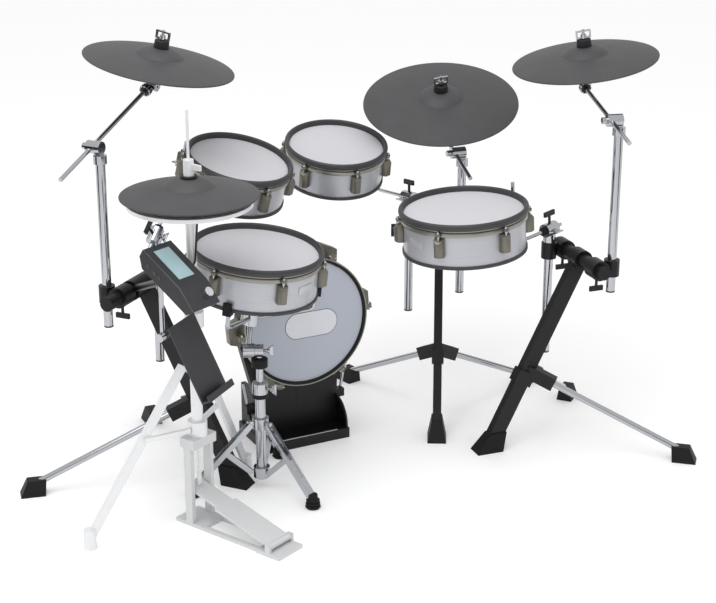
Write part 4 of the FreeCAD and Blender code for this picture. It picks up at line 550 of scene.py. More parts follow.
def silver_wrap(name, place):
    """Brushed silver laminate: fine lines along the shell's own girth, with a clear coat."""
    material, tree = new_material(name)
    drawn = add_node(tree, "ShaderNodeMapping", {"Vector": centred_on(tree, place).outputs["Vector"],
                                                 "Scale": (1, 1, BRUSH_STRETCH)})
    lines = add_node(tree, "ShaderNodeTexNoise", {
        "Vector": drawn.outputs["Vector"],
        "Scale": 1 / (BRUSH_MM * BRUSH_STRETCH * MM),
        "Detail": 4.0,
    })
    ramp = add_node(tree, "ShaderNodeValToRGB", {"Fac": lines.outputs["Fac"]})
    ramp.color_ramp.elements[0].color = linear("#a9aab0")
    ramp.color_ramp.elements[1].color = linear("#bdbec3")
    gleam = add_node(tree, "ShaderNodeMapRange",
                     {"Value": lines.outputs["Fac"], "To Min": WRAP_SMOOTH, "To Max": WRAP_ROUGH})
    finish_material(tree, {
        "Base Color": ramp.outputs["Color"],
        "Metallic": 0.5,
        "Roughness": gleam.outputs["Result"],
        "Anisotropic": 0.4,
        "Coat Weight": 0.35,
        "Coat Roughness": 0.12,
    })
    return material


for drum, place in drum_places.items():
    paint(silver_wrap(f"{drum} brushed silver laminate", place), f"{drum}_shell")

# Mesh heads: two plies of woven polyester drawn over a flesh hoop, pale grey and matt.
# Tension leaves the sheet flat but for a narrow collar where it turns down over the shell's edge.
RIM_WIDTH = 14 * MM
SEAT = 0.15 * MM
HEAD_DROP = 14 * MM
HEAD_THICKNESS = 1.6 * MM
RIM_HEIGHT = 17 * MM
FLESH_WIDTH = 5 * MM
COLLAR_DROP = 0.6 * MM
COLLAR_WIDTH = 7 * MM
THREAD_MM = 2.2
THREAD_DEPTH_MM = 0.06
WAVES_IN_BAND = 20


def woven_mesh(name, place, pale, dark):
    """Plain weave seen straight on, drawn coarser than the real 0.4 mm threads so that it shows."""
    material, tree = new_material(name)
    centred = centred_on(tree, place)
    weave = []
    for direction in "XY":
        threads = add_node(tree, "ShaderNodeTexWave", {"Vector": centred.outputs["Vector"],
                                                       "Scale": FULL_TURN / (WAVES_IN_BAND * THREAD_MM * MM)},
                           bands_direction=direction)
        weave.append(threads.outputs["Fac"])
    cloth = add_node(tree, "ShaderNodeMath", {0: weave[0], 1: weave[1]}, operation="MULTIPLY")
    ramp = add_node(tree, "ShaderNodeValToRGB", {"Fac": cloth.outputs["Value"]})
    ramp.color_ramp.elements[0].color = linear(dark)
    ramp.color_ramp.elements[1].color = linear(pale)
    bump = add_node(tree, "ShaderNodeBump",
                    {"Height": cloth.outputs["Value"], "Distance": THREAD_DEPTH_MM * MM})
    finish_material(tree, {"Base Color": ramp.outputs["Color"], "Roughness": 0.6, "Specular IOR Level": 0.3,
                           "Sheen Weight": 0.15, "Normal": bump.outputs["Normal"]})
    return material


for drum, place in drum_places.items():
    outer = DRUMS[drum].rim_radius - RIM_WIDTH - SEAT
    inner = outer - FLESH_WIDTH
    shape = bmesh.new()
    add_lathe(shape, [
        (0, -HEAD_DROP),
        (outer / 2, -HEAD_DROP),
        (outer - COLLAR_WIDTH, -HEAD_DROP),
        (outer - COLLAR_WIDTH / 3, -HEAD_DROP - COLLAR_DROP / 2),
        (outer, -HEAD_DROP - COLLAR_DROP * 2),
        (outer, -RIM_HEIGHT),
        (inner, -RIM_HEIGHT),
        (inner, -HEAD_DROP - HEAD_THICKNESS),
        (0, -HEAD_DROP - HEAD_THICKNESS),
    ], place)
    head = made(f"{drum}_mesh", shape, woven_mesh(f"{drum} woven polyester", place, "#cdcdd1", "#bfbfc4"))
    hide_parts(f"{drum}_head")
    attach(head, drum)

# Rims and base rings: extruded dark grey rubber pressed over the hoop and round the shell's foot.
# The rim has a rounded shoulder outside and slopes down to the head inside;
# a ring of the same dark rubber fills the groove round the hoop as painted shade, darkening the gap below the
# rim.
SHELL_INSET = 10 * MM
BASE_RING_HEIGHT = 9 * MM
BASE_RING_WALL = 3.6 * MM
RIM_SHOULDER = 3 * MM
RIM_ROUND = 2 * MM
RIM_STEPS = 160
HOOP_PROUD = 6 * MM
HOOP_FLANGE = 3.4 * MM
HOOP_GROOVE = 3.8 * MM
HOOP_GROOVE_DEPTH = 4.5 * MM
GROOVE_SHADE_FILL_DEPTH = 3 * MM


def add_ring(shape, place, bore, radius, foot, top, steps, rounding=0):
    """A turned ring of plain section, between two heights above its place."""
    add_lathe(shape, [(bore, foot), (radius, foot), (radius, top), (bore, top)], place, steps, rounding)


rim_rubber = coated("dark grey extruded rubber", "#313133", "#3a3a3c", roughness=0.5,
                    lump_mm=0.9, depth_mm=0.04, edge_mm=0.6)
for drum, place in drum_places.items():
    rim_radius = DRUMS[drum].rim_radius
    foot = -DRUMS[drum].height
    rim_inner = rim_radius - RIM_WIDTH
    shape = bmesh.new()
    add_lathe(shape, [
        (rim_inner, -RIM_HEIGHT),
        (rim_radius - RIM_SHOULDER / 3, -RIM_HEIGHT),
        (rim_radius, -RIM_HEIGHT / 2),
        (rim_radius - RIM_SHOULDER / 2, -RIM_SHOULDER),
        (rim_radius - RIM_SHOULDER * 2, 0),
        (rim_inner + RIM_SHOULDER * 2, 0),
        (rim_inner + RIM_SHOULDER, -RIM_SHOULDER),
    ], place, RIM_STEPS, RIM_ROUND / 2)
    ring_inner = rim_radius - SHELL_INSET + SEAT
    ring_outer = ring_inner + BASE_RING_WALL
    add_ring(shape, place, ring_inner, ring_outer, foot, foot + BASE_RING_HEIGHT, RIM_STEPS, RIM_ROUND / 2)
    # A dark ring in the hoop's groove: painted shade for the gap line under the rim.
    groove_top = -RIM_HEIGHT - SEAT - HOOP_FLANGE - SEAT
    groove_foot = groove_top - HOOP_GROOVE + SEAT * 2
    groove_inner = rim_radius - SHELL_INSET + HOOP_PROUD - HOOP_GROOVE_DEPTH + SEAT
    add_ring(shape, place, groove_inner, groove_inner + GROOVE_SHADE_FILL_DEPTH, groove_foot, groove_top, RIM_STEPS)
    rims = made(f"{drum}_rubber", shape, rim_rubber)
    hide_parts(f"{drum}_rims")
    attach(rims, drum)

# Hoops, lugs and claws: a rolled steel hoop in satin champagne plate, held by six die-cast pewter lugs.
# Each lug is a tapered block with a sloping top; a claw on the hoop takes the chrome tension rod.
LUG_COUNT = 6
HOOP_HEIGHT = 18 * MM
HOOP_EDGE = 0.7 * MM
LUG_DEPTH = 24 * MM
LUG_WIDTH = 26 * MM
LUG_HEIGHT = 54 * MM
LUG_TOP_DROP = 36 * MM
LUG_SLOPE = 13 * MM
LUG_FOOT_SLOPE = LUG_SLOPE / 4
LUG_FACE_SHARE = 0.2
LUG_SIDE_SHARE = 0.12
LUG_EDGE = 1.6 * MM
CLAW_DEPTH = 12 * MM
CLAW_WIDTH = 15 * MM
CLAW_HEIGHT = 8 * MM
CLAW_DROP = 23 * MM
ROD_RADIUS = 2.6 * MM
ROD_EDGE = ROD_RADIUS / 8
ROD_HEAD_RADIUS = 3.6 * MM
ROD_HEAD_HEIGHT = 5 * MM
ROD_HEAD_EDGE = ROD_RADIUS / 4
ROD_WASHER_RADIUS = 5 * MM
ROD_WASHER_HEIGHT = 1.5 * MM
ROD_WASHER_EDGE = ROD_WASHER_HEIGHT / 4
ROD_NUT_RADIUS = 4.6 * MM
ROD_NUT_HEIGHT = 5 * MM
NUT_SIDES = 6
pewter = coated("satin pewter die casting", "#6b695f", "#7b786e", roughness=0.36,
                lump_mm=1.5, depth_mm=0.03, edge_mm=0.8, metallic=0.6)
hoop_silver = coated("satin champagne plated steel", "#8b8981", "#9a9890", roughness=0.3,
                     lump_mm=1.5, depth_mm=0.02, edge_mm=0.6, metallic=0.85)


def add_block(shape, place, depth, width, height, edge, bend=None):
    """A block standing on its place, reshaped by bend where given, with its edges rounded."""
    form = bmesh.new()
    bmesh.ops.create_cube(form, size=1.0)
    bmesh.ops.translate(form, vec=(0, 0, 1 / 2), verts=form.verts)
    bmesh.ops.scale(form, vec=(depth, width, height), verts=form.verts)
    if bend:
        for corner in form.verts:
            corner.co = bend(corner.co)
    round_edges(form, form.edges[:], edge)
    add_form(shape, form, place)


def add_lug(shape, place):
    """A lug on its place: three upright facets outwards, a roof sloping outwards and a drawn-in foot."""
    front = LUG_DEPTH / 2
    side = LUG_DEPTH * LUG_SIDE_SHARE
    half = LUG_WIDTH / 2
    face = LUG_WIDTH * LUG_FACE_SHARE
    plan = [(-front, -half), (side, -half), (front, -face), (front, face), (side, half), (-front, half)]
    form = bmesh.new()
    outline = form.faces.new([form.verts.new((x, y, 0)) for x, y in plan])
    pull_out(form, [outline], (0, 0, LUG_HEIGHT))
    for corner in form.verts:
        outward = max(0, corner.co.x) / front
        corner.co.z += outward * (-LUG_SLOPE if corner.co.z > LUG_HEIGHT / 2 else LUG_FOOT_SLOPE)
    round_edges(form, form.edges[:], LUG_EDGE)
    add_form(shape, form, place)


drum_castings = {}
for drum, place in drum_places.items():
    first_angle = math.radians(DRUMS[drum].first_lug)
    shell_radius = DRUMS[drum].rim_radius - SHELL_INSET
    hoop_top = -RIM_HEIGHT - SEAT
    hoop_outer = shell_radius + HOOP_PROUD
    hoop_shape = bmesh.new()
    add_lathe(hoop_shape, [
        (shell_radius + SEAT, hoop_top - HOOP_HEIGHT),
        (hoop_outer, hoop_top - HOOP_HEIGHT),
        (hoop_outer, hoop_top - HOOP_FLANGE - HOOP_GROOVE),
        (hoop_outer - HOOP_GROOVE_DEPTH, hoop_top - HOOP_FLANGE - HOOP_GROOVE),
        (hoop_outer - HOOP_GROOVE_DEPTH, hoop_top - HOOP_FLANGE),
        (hoop_outer, hoop_top - HOOP_FLANGE),
        (hoop_outer, hoop_top),
        (shell_radius + SEAT, hoop_top),
    ], place, RIM_STEPS, HOOP_EDGE)
    hoop = made(f"{drum}_hoop", hoop_shape, hoop_silver)
    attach(hoop, drum)
    shape = bmesh.new()
    rods = bmesh.new()
    for number in range(LUG_COUNT):
        spoke = turned(place, first_angle + FULL_TURN * number / LUG_COUNT, "Z")
        axis = shifted(spoke, x=hoop_outer + SEAT + CLAW_DEPTH / 2)
        add_lug(shape, shifted(axis, z=-LUG_TOP_DROP - LUG_HEIGHT))
        claw = shifted(axis, z=-CLAW_DROP - CLAW_HEIGHT)
        add_block(shape, claw, CLAW_DEPTH, CLAW_WIDTH, CLAW_HEIGHT, LUG_EDGE)
        rod_foot = shifted(axis, z=-LUG_TOP_DROP - LUG_SLOPE)
        add_rod(rods, rod_foot, ROD_RADIUS, LUG_TOP_DROP + LUG_SLOPE - CLAW_DROP, ROD_EDGE)
        seat = shifted(axis, z=-CLAW_DROP)
        add_rod(rods, seat, ROD_WASHER_RADIUS, ROD_WASHER_HEIGHT, ROD_WASHER_EDGE)
        add_rod(rods, seat, ROD_HEAD_RADIUS, ROD_HEAD_HEIGHT, ROD_HEAD_EDGE)
        nut = shifted(seat, z=-CLAW_HEIGHT - ROD_NUT_HEIGHT)
        add_rod(rods, nut, ROD_NUT_RADIUS, ROD_NUT_HEIGHT, ROD_EDGE, NUT_SIDES)
    drum_castings[drum] = shape
    tension = made(f"{drum}_tension_rods", rods, chrome)
    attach(tension, drum)

# Tom holders: a cast block on the shell, split to grip the upright arm of the L-rod.
# A wing screw through its side closes it.
HOLDER_ANGLES = {"tom_left": 160, "tom_right": 38, "floor_tom": 40}
HOLDER_REACH = 34 * MM
HOLDER_WIDTH = 28 * MM
HOLDER_HEIGHT = 44 * MM
HOLDER_DROP = 48 * MM
HOLDER_ROD_OUT = 20 * MM
HOLDER_EDGE = 2 * MM
L_ROD_BORE = 5.31 * MM
HOLDER_CHEEK = HOLDER_WIDTH / 2 - L_ROD_BORE
HOLDER_WEB = HOLDER_ROD_OUT - L_ROD_BORE - SEAT * 2
HOLDER_WEB_WIDTH = L_ROD_BORE * 2 + HOLDER_EDGE * 2
SCREW_RADIUS = 4 * MM
SCREW_LENGTH = 9 * MM
SCREW_EDGE = SCREW_RADIUS / 4
BOSS_RADIUS = 7 * MM
BOSS_LENGTH = 8 * MM
BOSS_EDGE = BOSS_RADIUS / 4
WING_SPAN = 34 * MM
WING_RISE = 14 * MM
WING_THICK = 5 * MM
WING_FOOT = BOSS_LENGTH / 3
WING_FOOT_SHARE = 1 / 2
WING_EDGE = WING_THICK / 3


def wing_shape(corner):
    """Draws the foot of the wings in to a share of their span."""
    spread = 1 if corner.z > WING_RISE / 2 else WING_FOOT_SHARE
    return Vector((corner.x * spread, corner.y, corner.z))


def add_wing_screw(shape, place):
    """A screw standing on its place, with a round boss and two cast wings."""
    add_rod(shape, place, SCREW_RADIUS, SCREW_LENGTH + BOSS_LENGTH, SCREW_EDGE)
    boss = shifted(place, z=SCREW_LENGTH)
    add_rod(shape, boss, BOSS_RADIUS, BOSS_LENGTH, BOSS_EDGE)
    wings = shifted(boss, z=WING_FOOT)
    add_block(shape, wings, WING_SPAN, WING_THICK, WING_RISE, WING_EDGE, wing_shape)


for drum, angle in HOLDER_ANGLES.items():
    shell_radius = DRUMS[drum].rim_radius - SHELL_INSET
    spoke = turned(drum_places[drum], math.radians(angle), "Z")
    base = shifted(spoke, x=shell_radius + SEAT, z=-HOLDER_DROP - HOLDER_HEIGHT)
    shape = drum_castings[drum]
    for hand in (-1, 1):
        cheek = shifted(base, x=HOLDER_REACH / 2, y=hand * (L_ROD_BORE + HOLDER_CHEEK / 2))
        add_block(shape, cheek, HOLDER_REACH, HOLDER_CHEEK, HOLDER_HEIGHT, HOLDER_EDGE)
    web = shifted(base, x=HOLDER_WEB / 2)
    add_block(shape, web, HOLDER_WEB, HOLDER_WEB_WIDTH, HOLDER_HEIGHT, HOLDER_EDGE / 2)
    screws = bmesh.new()
    side = shifted(base, HOLDER_ROD_OUT, HOLDER_WIDTH / 2, HOLDER_HEIGHT / 2)
    add_wing_screw(screws, turned(side, -FULL_TURN / 4, "X"))
    wing = made(f"{drum}_holder_screw", screws, chrome)
    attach(wing, drum)
for drum, shape in drum_castings.items():
    castings = made(f"{drum}_castings", shape, pewter)
    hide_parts(f"{drum}_fittings")
    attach(castings, drum)

# Plates on the snare and the floor tom: thin satin steel, bent to the curve of the shell and glued on.
# They are blank, with rounded edges that catch the light.
PLATE_ANGLES = {"snare": 324, "floor_tom": 217}
PLATE_WIDTH = 52 * MM
PLATE_HEIGHT = 21 * MM
PLATE_DROP = 57 * MM
PLATE_THICKNESS = 1.2 * MM
PLATE_STEPS = 12
PLATE_EDGE = 0.4 * MM
PLATE_GLUE = MM / 10
PLATE_SHARP_ANGLE = 1.0
plate_steel = coated("satin steel plate", "#b9babe", "#c6c7ca", roughness=0.34,
                     lump_mm=1.2, depth_mm=0.02, edge_mm=0.3, metallic=0.6)
for drum, angle in PLATE_ANGLES.items():
    shell_radius = DRUMS[drum].rim_radius - SHELL_INSET
    sweep = PLATE_WIDTH / shell_radius
    spoke = turned(drum_places[drum], math.radians(angle) - sweep / 2, "Z")
    form = bmesh.new()
    section = [(0, 0), (PLATE_THICKNESS, 0), (PLATE_THICKNESS, PLATE_HEIGHT), (0, PLATE_HEIGHT)]
    corners = [form.verts.new((shell_radius + PLATE_GLUE + out, 0, -PLATE_DROP - PLATE_HEIGHT + rise))
               for out, rise in section]
    end = form.faces.new(corners)
    bmesh.ops.spin(form, geom=[end], cent=(0, 0, 0), axis=(0, 0, 1), angle=sweep, steps=PLATE_STEPS)
    paired = [line for line in form.edges if len(line.link_faces) == 2]
    round_edges(form, [line for line in paired if line.calc_face_angle(0) > PLATE_SHARP_ANGLE], PLATE_EDGE)
    shape = bmesh.new()
    add_form(shape, form, spoke)
    plate = made(f"{drum}_blank_plate", shape, plate_steel)
    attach(plate, drum)

# Memory locks and barrel screws: a fluted nylon lock on each L-rod beside the barrel that grips it,
# and a chrome wing screw that closes the barrel.
LOCK_STEP = 17 * MM
ROD_LOCK_LENGTH = 15 * MM
ROD_LOCK_RADIUS = 13 * MM
BARREL_RADIUS = 13 * MM
for drum in HOLDER_ANGLES:
    swing = joint_named(f"{drum}_swing")
    way = Vector(swing["axis"]).normalized()
    middle = Vector(swing["pos_m"])
    lock_foot = middle - way * (LOCK_STEP + ROD_LOCK_LENGTH)
    shape = bmesh.new()
    add_knob(shape, stood(lock_foot, way), ROD_LOCK_RADIUS, ROD_LOCK_LENGTH, LOCK_EDGE)
    lock = made(f"{drum}_memory_lock", shape, nylon)
    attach(lock, f"{drum}_l_rod")
    outward = way.cross(Vector((0, 0, 1))).normalized()
    if outward.y > 0:
        outward = -outward
    shape = bmesh.new()
    add_wing_screw(shape, stood(middle + outward * BARREL_RADIUS, outward, way))
    screw = made(f"{drum}_barrel_screw", shape, chrome)
    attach(screw, "kit")

# Snare stand: telescoping tubes, a tripod of flat strips, an offset tilter and a basket, chrome plated.
# Moulded black rubber grips on the basket's arms hold the drum by its lower edge;
# rubber rings cushion the tilter and the height collar, and wing screws lock both.
paint(chrome, "snare_stand_tube", "snare_upper_tube", "snare_stand_legs", "snare_basket")
paint(foot_rubber, "snare_basket_grips")
SNARE_AXIS = Vector((-278.5, -270.8, 0)) * MM
BUMPER_FOOT = 350 * MM
BUMPER_HEIGHT = 24 * MM
BUMPER_RADIUS = 22 * MM
BUMPER_BORE = 9.7 * MM
STOP_FOOT = 263 * MM
STOP_HEIGHT = 11 * MM
STOP_BORE = 14.2 * MM
TILTER_HEIGHT = 396 * MM
TILTER_HALF = 11.5 * MM
COLLAR_RADIUS = 21 * MM
COLLAR_HEIGHT = 290 * MM
SNARE_RINGS = (("snare_bumper", "snare_upper", BUMPER_FOOT, BUMPER_HEIGHT, BUMPER_BORE),
               ("snare_stop_ring", "kit", STOP_FOOT, STOP_HEIGHT, STOP_BORE))
for name, body, foot, height, bore in SNARE_RINGS:
    place = Matrix.Translation(SNARE_AXIS + Vector((0, 0, foot)))
    shape = bmesh.new()
    add_ring(shape, place, bore, BUMPER_RADIUS, 0, height, WASHER_STEPS, SLEEVE_ROUND)
    ring = made(name, shape, foot_rubber)
    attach(ring, body)
SNARE_WINGS = (("snare_tilt_screw", "snare_upper", TILTER_HALF, TILTER_HEIGHT, (1, 0, 0)),
               ("snare_height_screw", "kit", COLLAR_RADIUS, COLLAR_HEIGHT, (0.94, -0.34, 0)))
for name, body, reach, height, way in SNARE_WINGS:
    shape = bmesh.new()
    start = SNARE_AXIS + Vector((0, 0, height)) + Vector(way) * reach
    add_wing_screw(shape, stood(start, way, (0, 0, 1)))
    screw = made(name, shape, chrome)
    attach(screw, body)

# Snare feet: tapered rubber feet pushed over the ends of the three legs.
# Three ribs stand out round each foot, moulded in one with it of the same black rubber.
SNARE_LEG_ANGLES = (-42, 78, 198)
SNARE_LEG_REACH = 190 * MM
FOOT_RADIUS = 17 * MM
FOOT_HEIGHT = 40 * MM
FOOT_DRAW_IN = 5 * MM
FOOT_TAPER = FOOT_DRAW_IN / FOOT_HEIGHT
RIB_FEET = (4 * MM, 13 * MM, 22 * MM)
RIB_HEIGHT = 6 * MM
RIB_REACH = 4 * MM
RIB_ROUND = 0.6 * MM
RIB_STEPS = 48
shape = bmesh.new()
for angle in SNARE_LEG_ANGLES:
    heading = math.radians(angle)
    foot_point = SNARE_AXIS + Vector((math.cos(heading), math.sin(heading), 0)) * SNARE_LEG_REACH
    for rib_foot in RIB_FEET:
        lower = FOOT_RADIUS - FOOT_TAPER * rib_foot + SEAT
        upper = lower - FOOT_TAPER * RIB_HEIGHT
        add_lathe(shape, [
            (lower, rib_foot),
            (lower + RIB_REACH, rib_foot),
            (lower + RIB_REACH, rib_foot + RIB_HEIGHT / 3),
            (upper, rib_foot + RIB_HEIGHT),
        ], Matrix.Translation(foot_point), RIB_STEPS, RIB_ROUND)
foot_ribs = made("snare_foot_ribs", shape, foot_rubber)
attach(foot_ribs, "kit")

# Kick tower: a moulded black ABS tower and base that hold an upright mesh pad.
# The mould's spark-eroded skin is matt, with a softly rounded edge everywhere.
tower_plastic = coated("black moulded ABS", "#0c0c0d", "#141416", roughness=0.42,
                       lump_mm=0.9, depth_mm=0.04, edge_mm=2.5, gloss=0.35)
paint(tower_plastic, "kick_tower")

# Kick hoop: a rolled steel hoop in satin champagne plate that holds the head in the tower.
# A black rubber lip is pressed inside its front edge.
KICK_MIDDLE = Vector((-160.4, -10.1, 376)) * MM
KICK_YAW = math.radians(27.2)
KICK_NORMAL = Vector((math.sin(KICK_YAW), -math.cos(KICK_YAW), 0))
KICK_ACROSS = Vector((math.cos(KICK_YAW), math.sin(KICK_YAW), 0))
KICK_HOOP_RADIUS = 188 * MM
KICK_HOOP_WALL = 7 * MM
KICK_HOOP_DEPTH = 36 * MM
KICK_HOOP_EDGE = MM
KICK_LIP = 3.4 * MM
KICK_LIP_REACH = 5 * MM
KICK_LIP_DEPTH = 5.8 * MM
KICK_LIP_DROP = MM / 4
KICK_LIP_TOE = MM
KICK_LIP_EDGE = MM / 2
kick_place = stood(KICK_MIDDLE, KICK_NORMAL, KICK_ACROSS)
shape = bmesh.new()
inner = KICK_HOOP_RADIUS - KICK_HOOP_WALL
add_lathe(shape, [
    (inner, -KICK_HOOP_DEPTH),
    (KICK_HOOP_RADIUS, -KICK_HOOP_DEPTH),
    (KICK_HOOP_RADIUS, 0),
    (inner + KICK_LIP, 0),
    (inner + KICK_LIP, -KICK_LIP_DEPTH),
    (inner, -KICK_LIP_DEPTH),
], kick_place, RIM_STEPS, KICK_HOOP_EDGE)
kick_ring = made("kick_ring", shape, hoop_silver)
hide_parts("kick_hoop")
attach(kick_ring, "kit")
shape = bmesh.new()
add_lathe(shape, [
    (inner - KICK_LIP_REACH, -KICK_LIP_DEPTH),
    (inner + KICK_LIP - SEAT, -KICK_LIP_DEPTH),
    (inner + KICK_LIP - SEAT, -KICK_LIP_DROP),
    (inner - KICK_LIP, -KICK_LIP_DROP),
    (inner - KICK_LIP_REACH, -KICK_LIP_DEPTH + KICK_LIP_TOE),
], kick_place, RIM_STEPS, KICK_LIP_EDGE)
kick_lip = made("kick_lip", shape, foot_rubber)
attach(kick_lip, "kit")

# Kick head: blue-grey woven polyester stretched in the hoop.
# A white fibre patch takes the beater; it is glued on over a dark felt that shows as a thin rim.
KICK_HEAD_INSET = 6 * MM
KICK_HEAD_THICKNESS = 2 * MM
PATCH_LENGTH = 158 * MM
PATCH_WIDTH = 74 * MM
PATCH_THICKNESS = 0.8 * MM
PATCH_ASIDE = 16 * MM
PATCH_BELOW = 9 * MM
PATCH_BACKING = 1.6 * MM
PATCH_ROUND_STEPS = 24
head_radius = inner - SEAT
shape = bmesh.new()
add_lathe(shape, [
    (0, -KICK_HEAD_INSET - KICK_HEAD_THICKNESS),
    (head_radius, -KICK_HEAD_INSET - KICK_HEAD_THICKNESS),
    (head_radius, -KICK_HEAD_INSET - KICK_HEAD_THICKNESS / 2),
    (head_radius - COLLAR_WIDTH, -KICK_HEAD_INSET),
    (0, -KICK_HEAD_INSET),
], kick_place)
kick_weave = woven_mesh("blue-grey woven polyester", kick_place, "#bec3cd", "#aeb3be")
kick_mesh = made("kick_mesh", shape, kick_weave)
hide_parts("kick_head")
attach(kick_mesh, "kit")
patch_fibre = coated("white fibre patch", "#d3d4da", "#dcdde2", roughness=0.5,
                     lump_mm=0.7, depth_mm=0.03, edge_mm=0.4)
backing_felt = coated("dark backing felt", "#3c3e44", "#46484e", roughness=0.8,
                      lump_mm=0.7, depth_mm=0.05, edge_mm=0.2, gloss=0.2)


def stadium(width, length, thickness, place):
    """A flat pad with two round ends, lying on its place."""
    form = bmesh.new()
    disc = bmesh.ops.create_circle(form, cap_ends=True, radius=width / 2, segments=PATCH_ROUND_STEPS * 2)
    for corner in disc["verts"]:
        if abs(corner.co.x) > WELD_GAP:
            corner.co.x += math.copysign((length - width) / 2, corner.co.x)
    pull_out(form, form.faces[:], (0, 0, thickness))
    shape = bmesh.new()
    add_form(shape, form, place)
    return shape


patch_place = shifted(kick_place, PATCH_ASIDE, -PATCH_BELOW, -KICK_HEAD_INSET)
PATCH_LAYERS = (("beater_patch", 0, PATCH_THICKNESS, patch_fibre),
                ("patch_backing", PATCH_BACKING, PATCH_THICKNESS / 2, backing_felt))
for name, margin, thickness, material in PATCH_LAYERS:
    shape = stadium(PATCH_WIDTH + margin * 2, PATCH_LENGTH + margin * 2, thickness, patch_place)
    patch = made(name, shape, material)
    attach(patch, "kit")

# Kick lugs and spurs: pewter castings with claws and chrome T-rods draw the hoop on to the tower.
# Spurs in nylon clamps at both sides keep the tower from creeping.
KICK_LUG_COUNT = 6
KICK_FIRST_LUG = math.radians(5)
KICK_LUG_DEPTH = 36 * MM
KICK_LUG_WIDTH = 78 * MM
KICK_LUG_BACK = 40 * MM
KICK_CLAW = 16 * MM
KICK_T_LENGTH = 26 * MM
KICK_T_RADIUS = 3 * MM
KICK_T_EDGE = KICK_T_RADIUS / 3
KICK_LUG_DRAFT_SHARE = 0.7
paint(nylon, "kick_spurs")


def kick_lug_shape(corner):
    """Draws the casting's outer face in on every side."""
    if corner.x < 0:
        return corner
    middle = KICK_LUG_BACK / 2
    return Vector((corner.x, corner.y * KICK_LUG_DRAFT_SHARE,
                   middle + (corner.z - middle) * KICK_LUG_DRAFT_SHARE))


shape = bmesh.new()
rods = bmesh.new()
for number in range(KICK_LUG_COUNT):
    spoke = turned(kick_place, KICK_FIRST_LUG + FULL_TURN * number / KICK_LUG_COUNT, "Z")
    lug_back = -KICK_HOOP_DEPTH - SEAT - KICK_LUG_BACK
    block = shifted(spoke, x=head_radius + SEAT + KICK_LUG_DEPTH / 2, z=lug_back)
    add_block(shape, block, KICK_LUG_DEPTH, KICK_LUG_WIDTH, KICK_LUG_BACK, LUG_EDGE, kick_lug_shape)
    claw = shifted(spoke, x=KICK_HOOP_RADIUS + SEAT + KICK_CLAW / 2, z=-KICK_CLAW)
    add_block(shape, claw, KICK_CLAW, KICK_CLAW, KICK_CLAW, LUG_EDGE)
    reach = KICK_HOOP_DEPTH + LUG_SLOPE
    add_rod(rods, shifted(claw, z=KICK_CLAW - reach), ROD_RADIUS, reach, ROD_EDGE)
    bar = shifted(claw, y=-KICK_T_LENGTH / 2, z=KICK_CLAW - KICK_T_RADIUS)
    add_rod(rods, turned(bar, -FULL_TURN / 4, "X"), KICK_T_RADIUS, KICK_T_LENGTH, KICK_T_EDGE)
kick_castings = made("kick_castings", shape, pewter)
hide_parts("kick_lugs")
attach(kick_castings, "kit")
t_rods = made("kick_t_rods", rods, chrome)
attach(t_rods, "kit")

# Tower fittings: moulded gussets from the base up to the spur clamps, a seam down the front of the plate,
# a bright steel strip along the base's front edge, and the chrome spur rods drawn up in their clamps.
KICK_BASE_HALF = 132 * MM
KICK_BASE_HEIGHT = 30 * MM
KICK_PLATE_FRONT = 76.3 * MM
KICK_PLATE_MIDDLE = 89.3 * MM
GUSSET_THICKNESS = 6 * MM
GUSSET_FOOT = 4 * MM
GUSSET_TOP = 104 * MM
GUSSET_STEPS = 8
SEAM_WIDTH = 2.2 * MM
SEAM_FOOT = 92 * MM
SEAM_HEIGHT = 84 * MM
SEAM_PROUD = 0.5 * MM
SEAM_EDGE = SEAM_PROUD / 3
STRIP_LENGTH = 186 * MM
STRIP_HEIGHT = 3 * MM
STRIP_DEPTH = 2.5 * MM
STRIP_EDGE = STRIP_DEPTH / 4
SPUR_CLAMP = 24 * MM
SPUR_ASIDE = 142.15 * MM
SPUR_HEIGHT = 96 * MM
SPUR_LENGTH = 96 * MM
SPUR_LEAN = 18 * MM
SPUR_RADIUS = 4.3 * MM
SPUR_EDGE = SPUR_RADIUS / 3
kick_ground = stood(Vector((KICK_MIDDLE.x, KICK_MIDDLE.y, 0)), (0, 0, 1), KICK_ACROSS)
shape = bmesh.new()
for hand in (-1, 1):
    form = bmesh.new()
    outline = [(0, KICK_PLATE_FRONT, KICK_BASE_HEIGHT), (0, GUSSET_FOOT, KICK_BASE_HEIGHT)]
    for number in range(GUSSET_STEPS + 1):
        turn = FULL_TURN / 4 * number / GUSSET_STEPS
        outline.append((0, GUSSET_FOOT + (KICK_PLATE_FRONT - GUSSET_FOOT) * (1 - math.cos(turn)),
                        KICK_BASE_HEIGHT + GUSSET_FOOT + (GUSSET_TOP - KICK_BASE_HEIGHT) * math.sin(turn)))
    face = form.faces.new([form.verts.new(spot) for spot in outline])
    pull_out(form, [face], (GUSSET_THICKNESS, 0, 0))
    side = hand * (KICK_BASE_HALF - GUSSET_THICKNESS) - GUSSET_THICKNESS / 2
    add_form(shape, form, shifted(kick_ground, x=side))
gussets = made("kick_gussets", shape, tower_plastic)
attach(gussets, "kit")
shape = bmesh.new()
seam_foot = shifted(kick_ground, y=KICK_PLATE_FRONT, z=SEAM_FOOT)
add_block(shape, seam_foot, SEAM_WIDTH, SEAM_PROUD * 2, SEAM_HEIGHT, SEAM_EDGE)
seam = made("kick_seam", shape, washer_rubber)
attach(seam, "kit")
shape = bmesh.new()
strip_foot = shifted(kick_ground, y=STRIP_DEPTH / 2, z=KICK_BASE_HEIGHT)
add_block(shape, strip_foot, STRIP_LENGTH, STRIP_DEPTH, STRIP_HEIGHT, STRIP_EDGE)
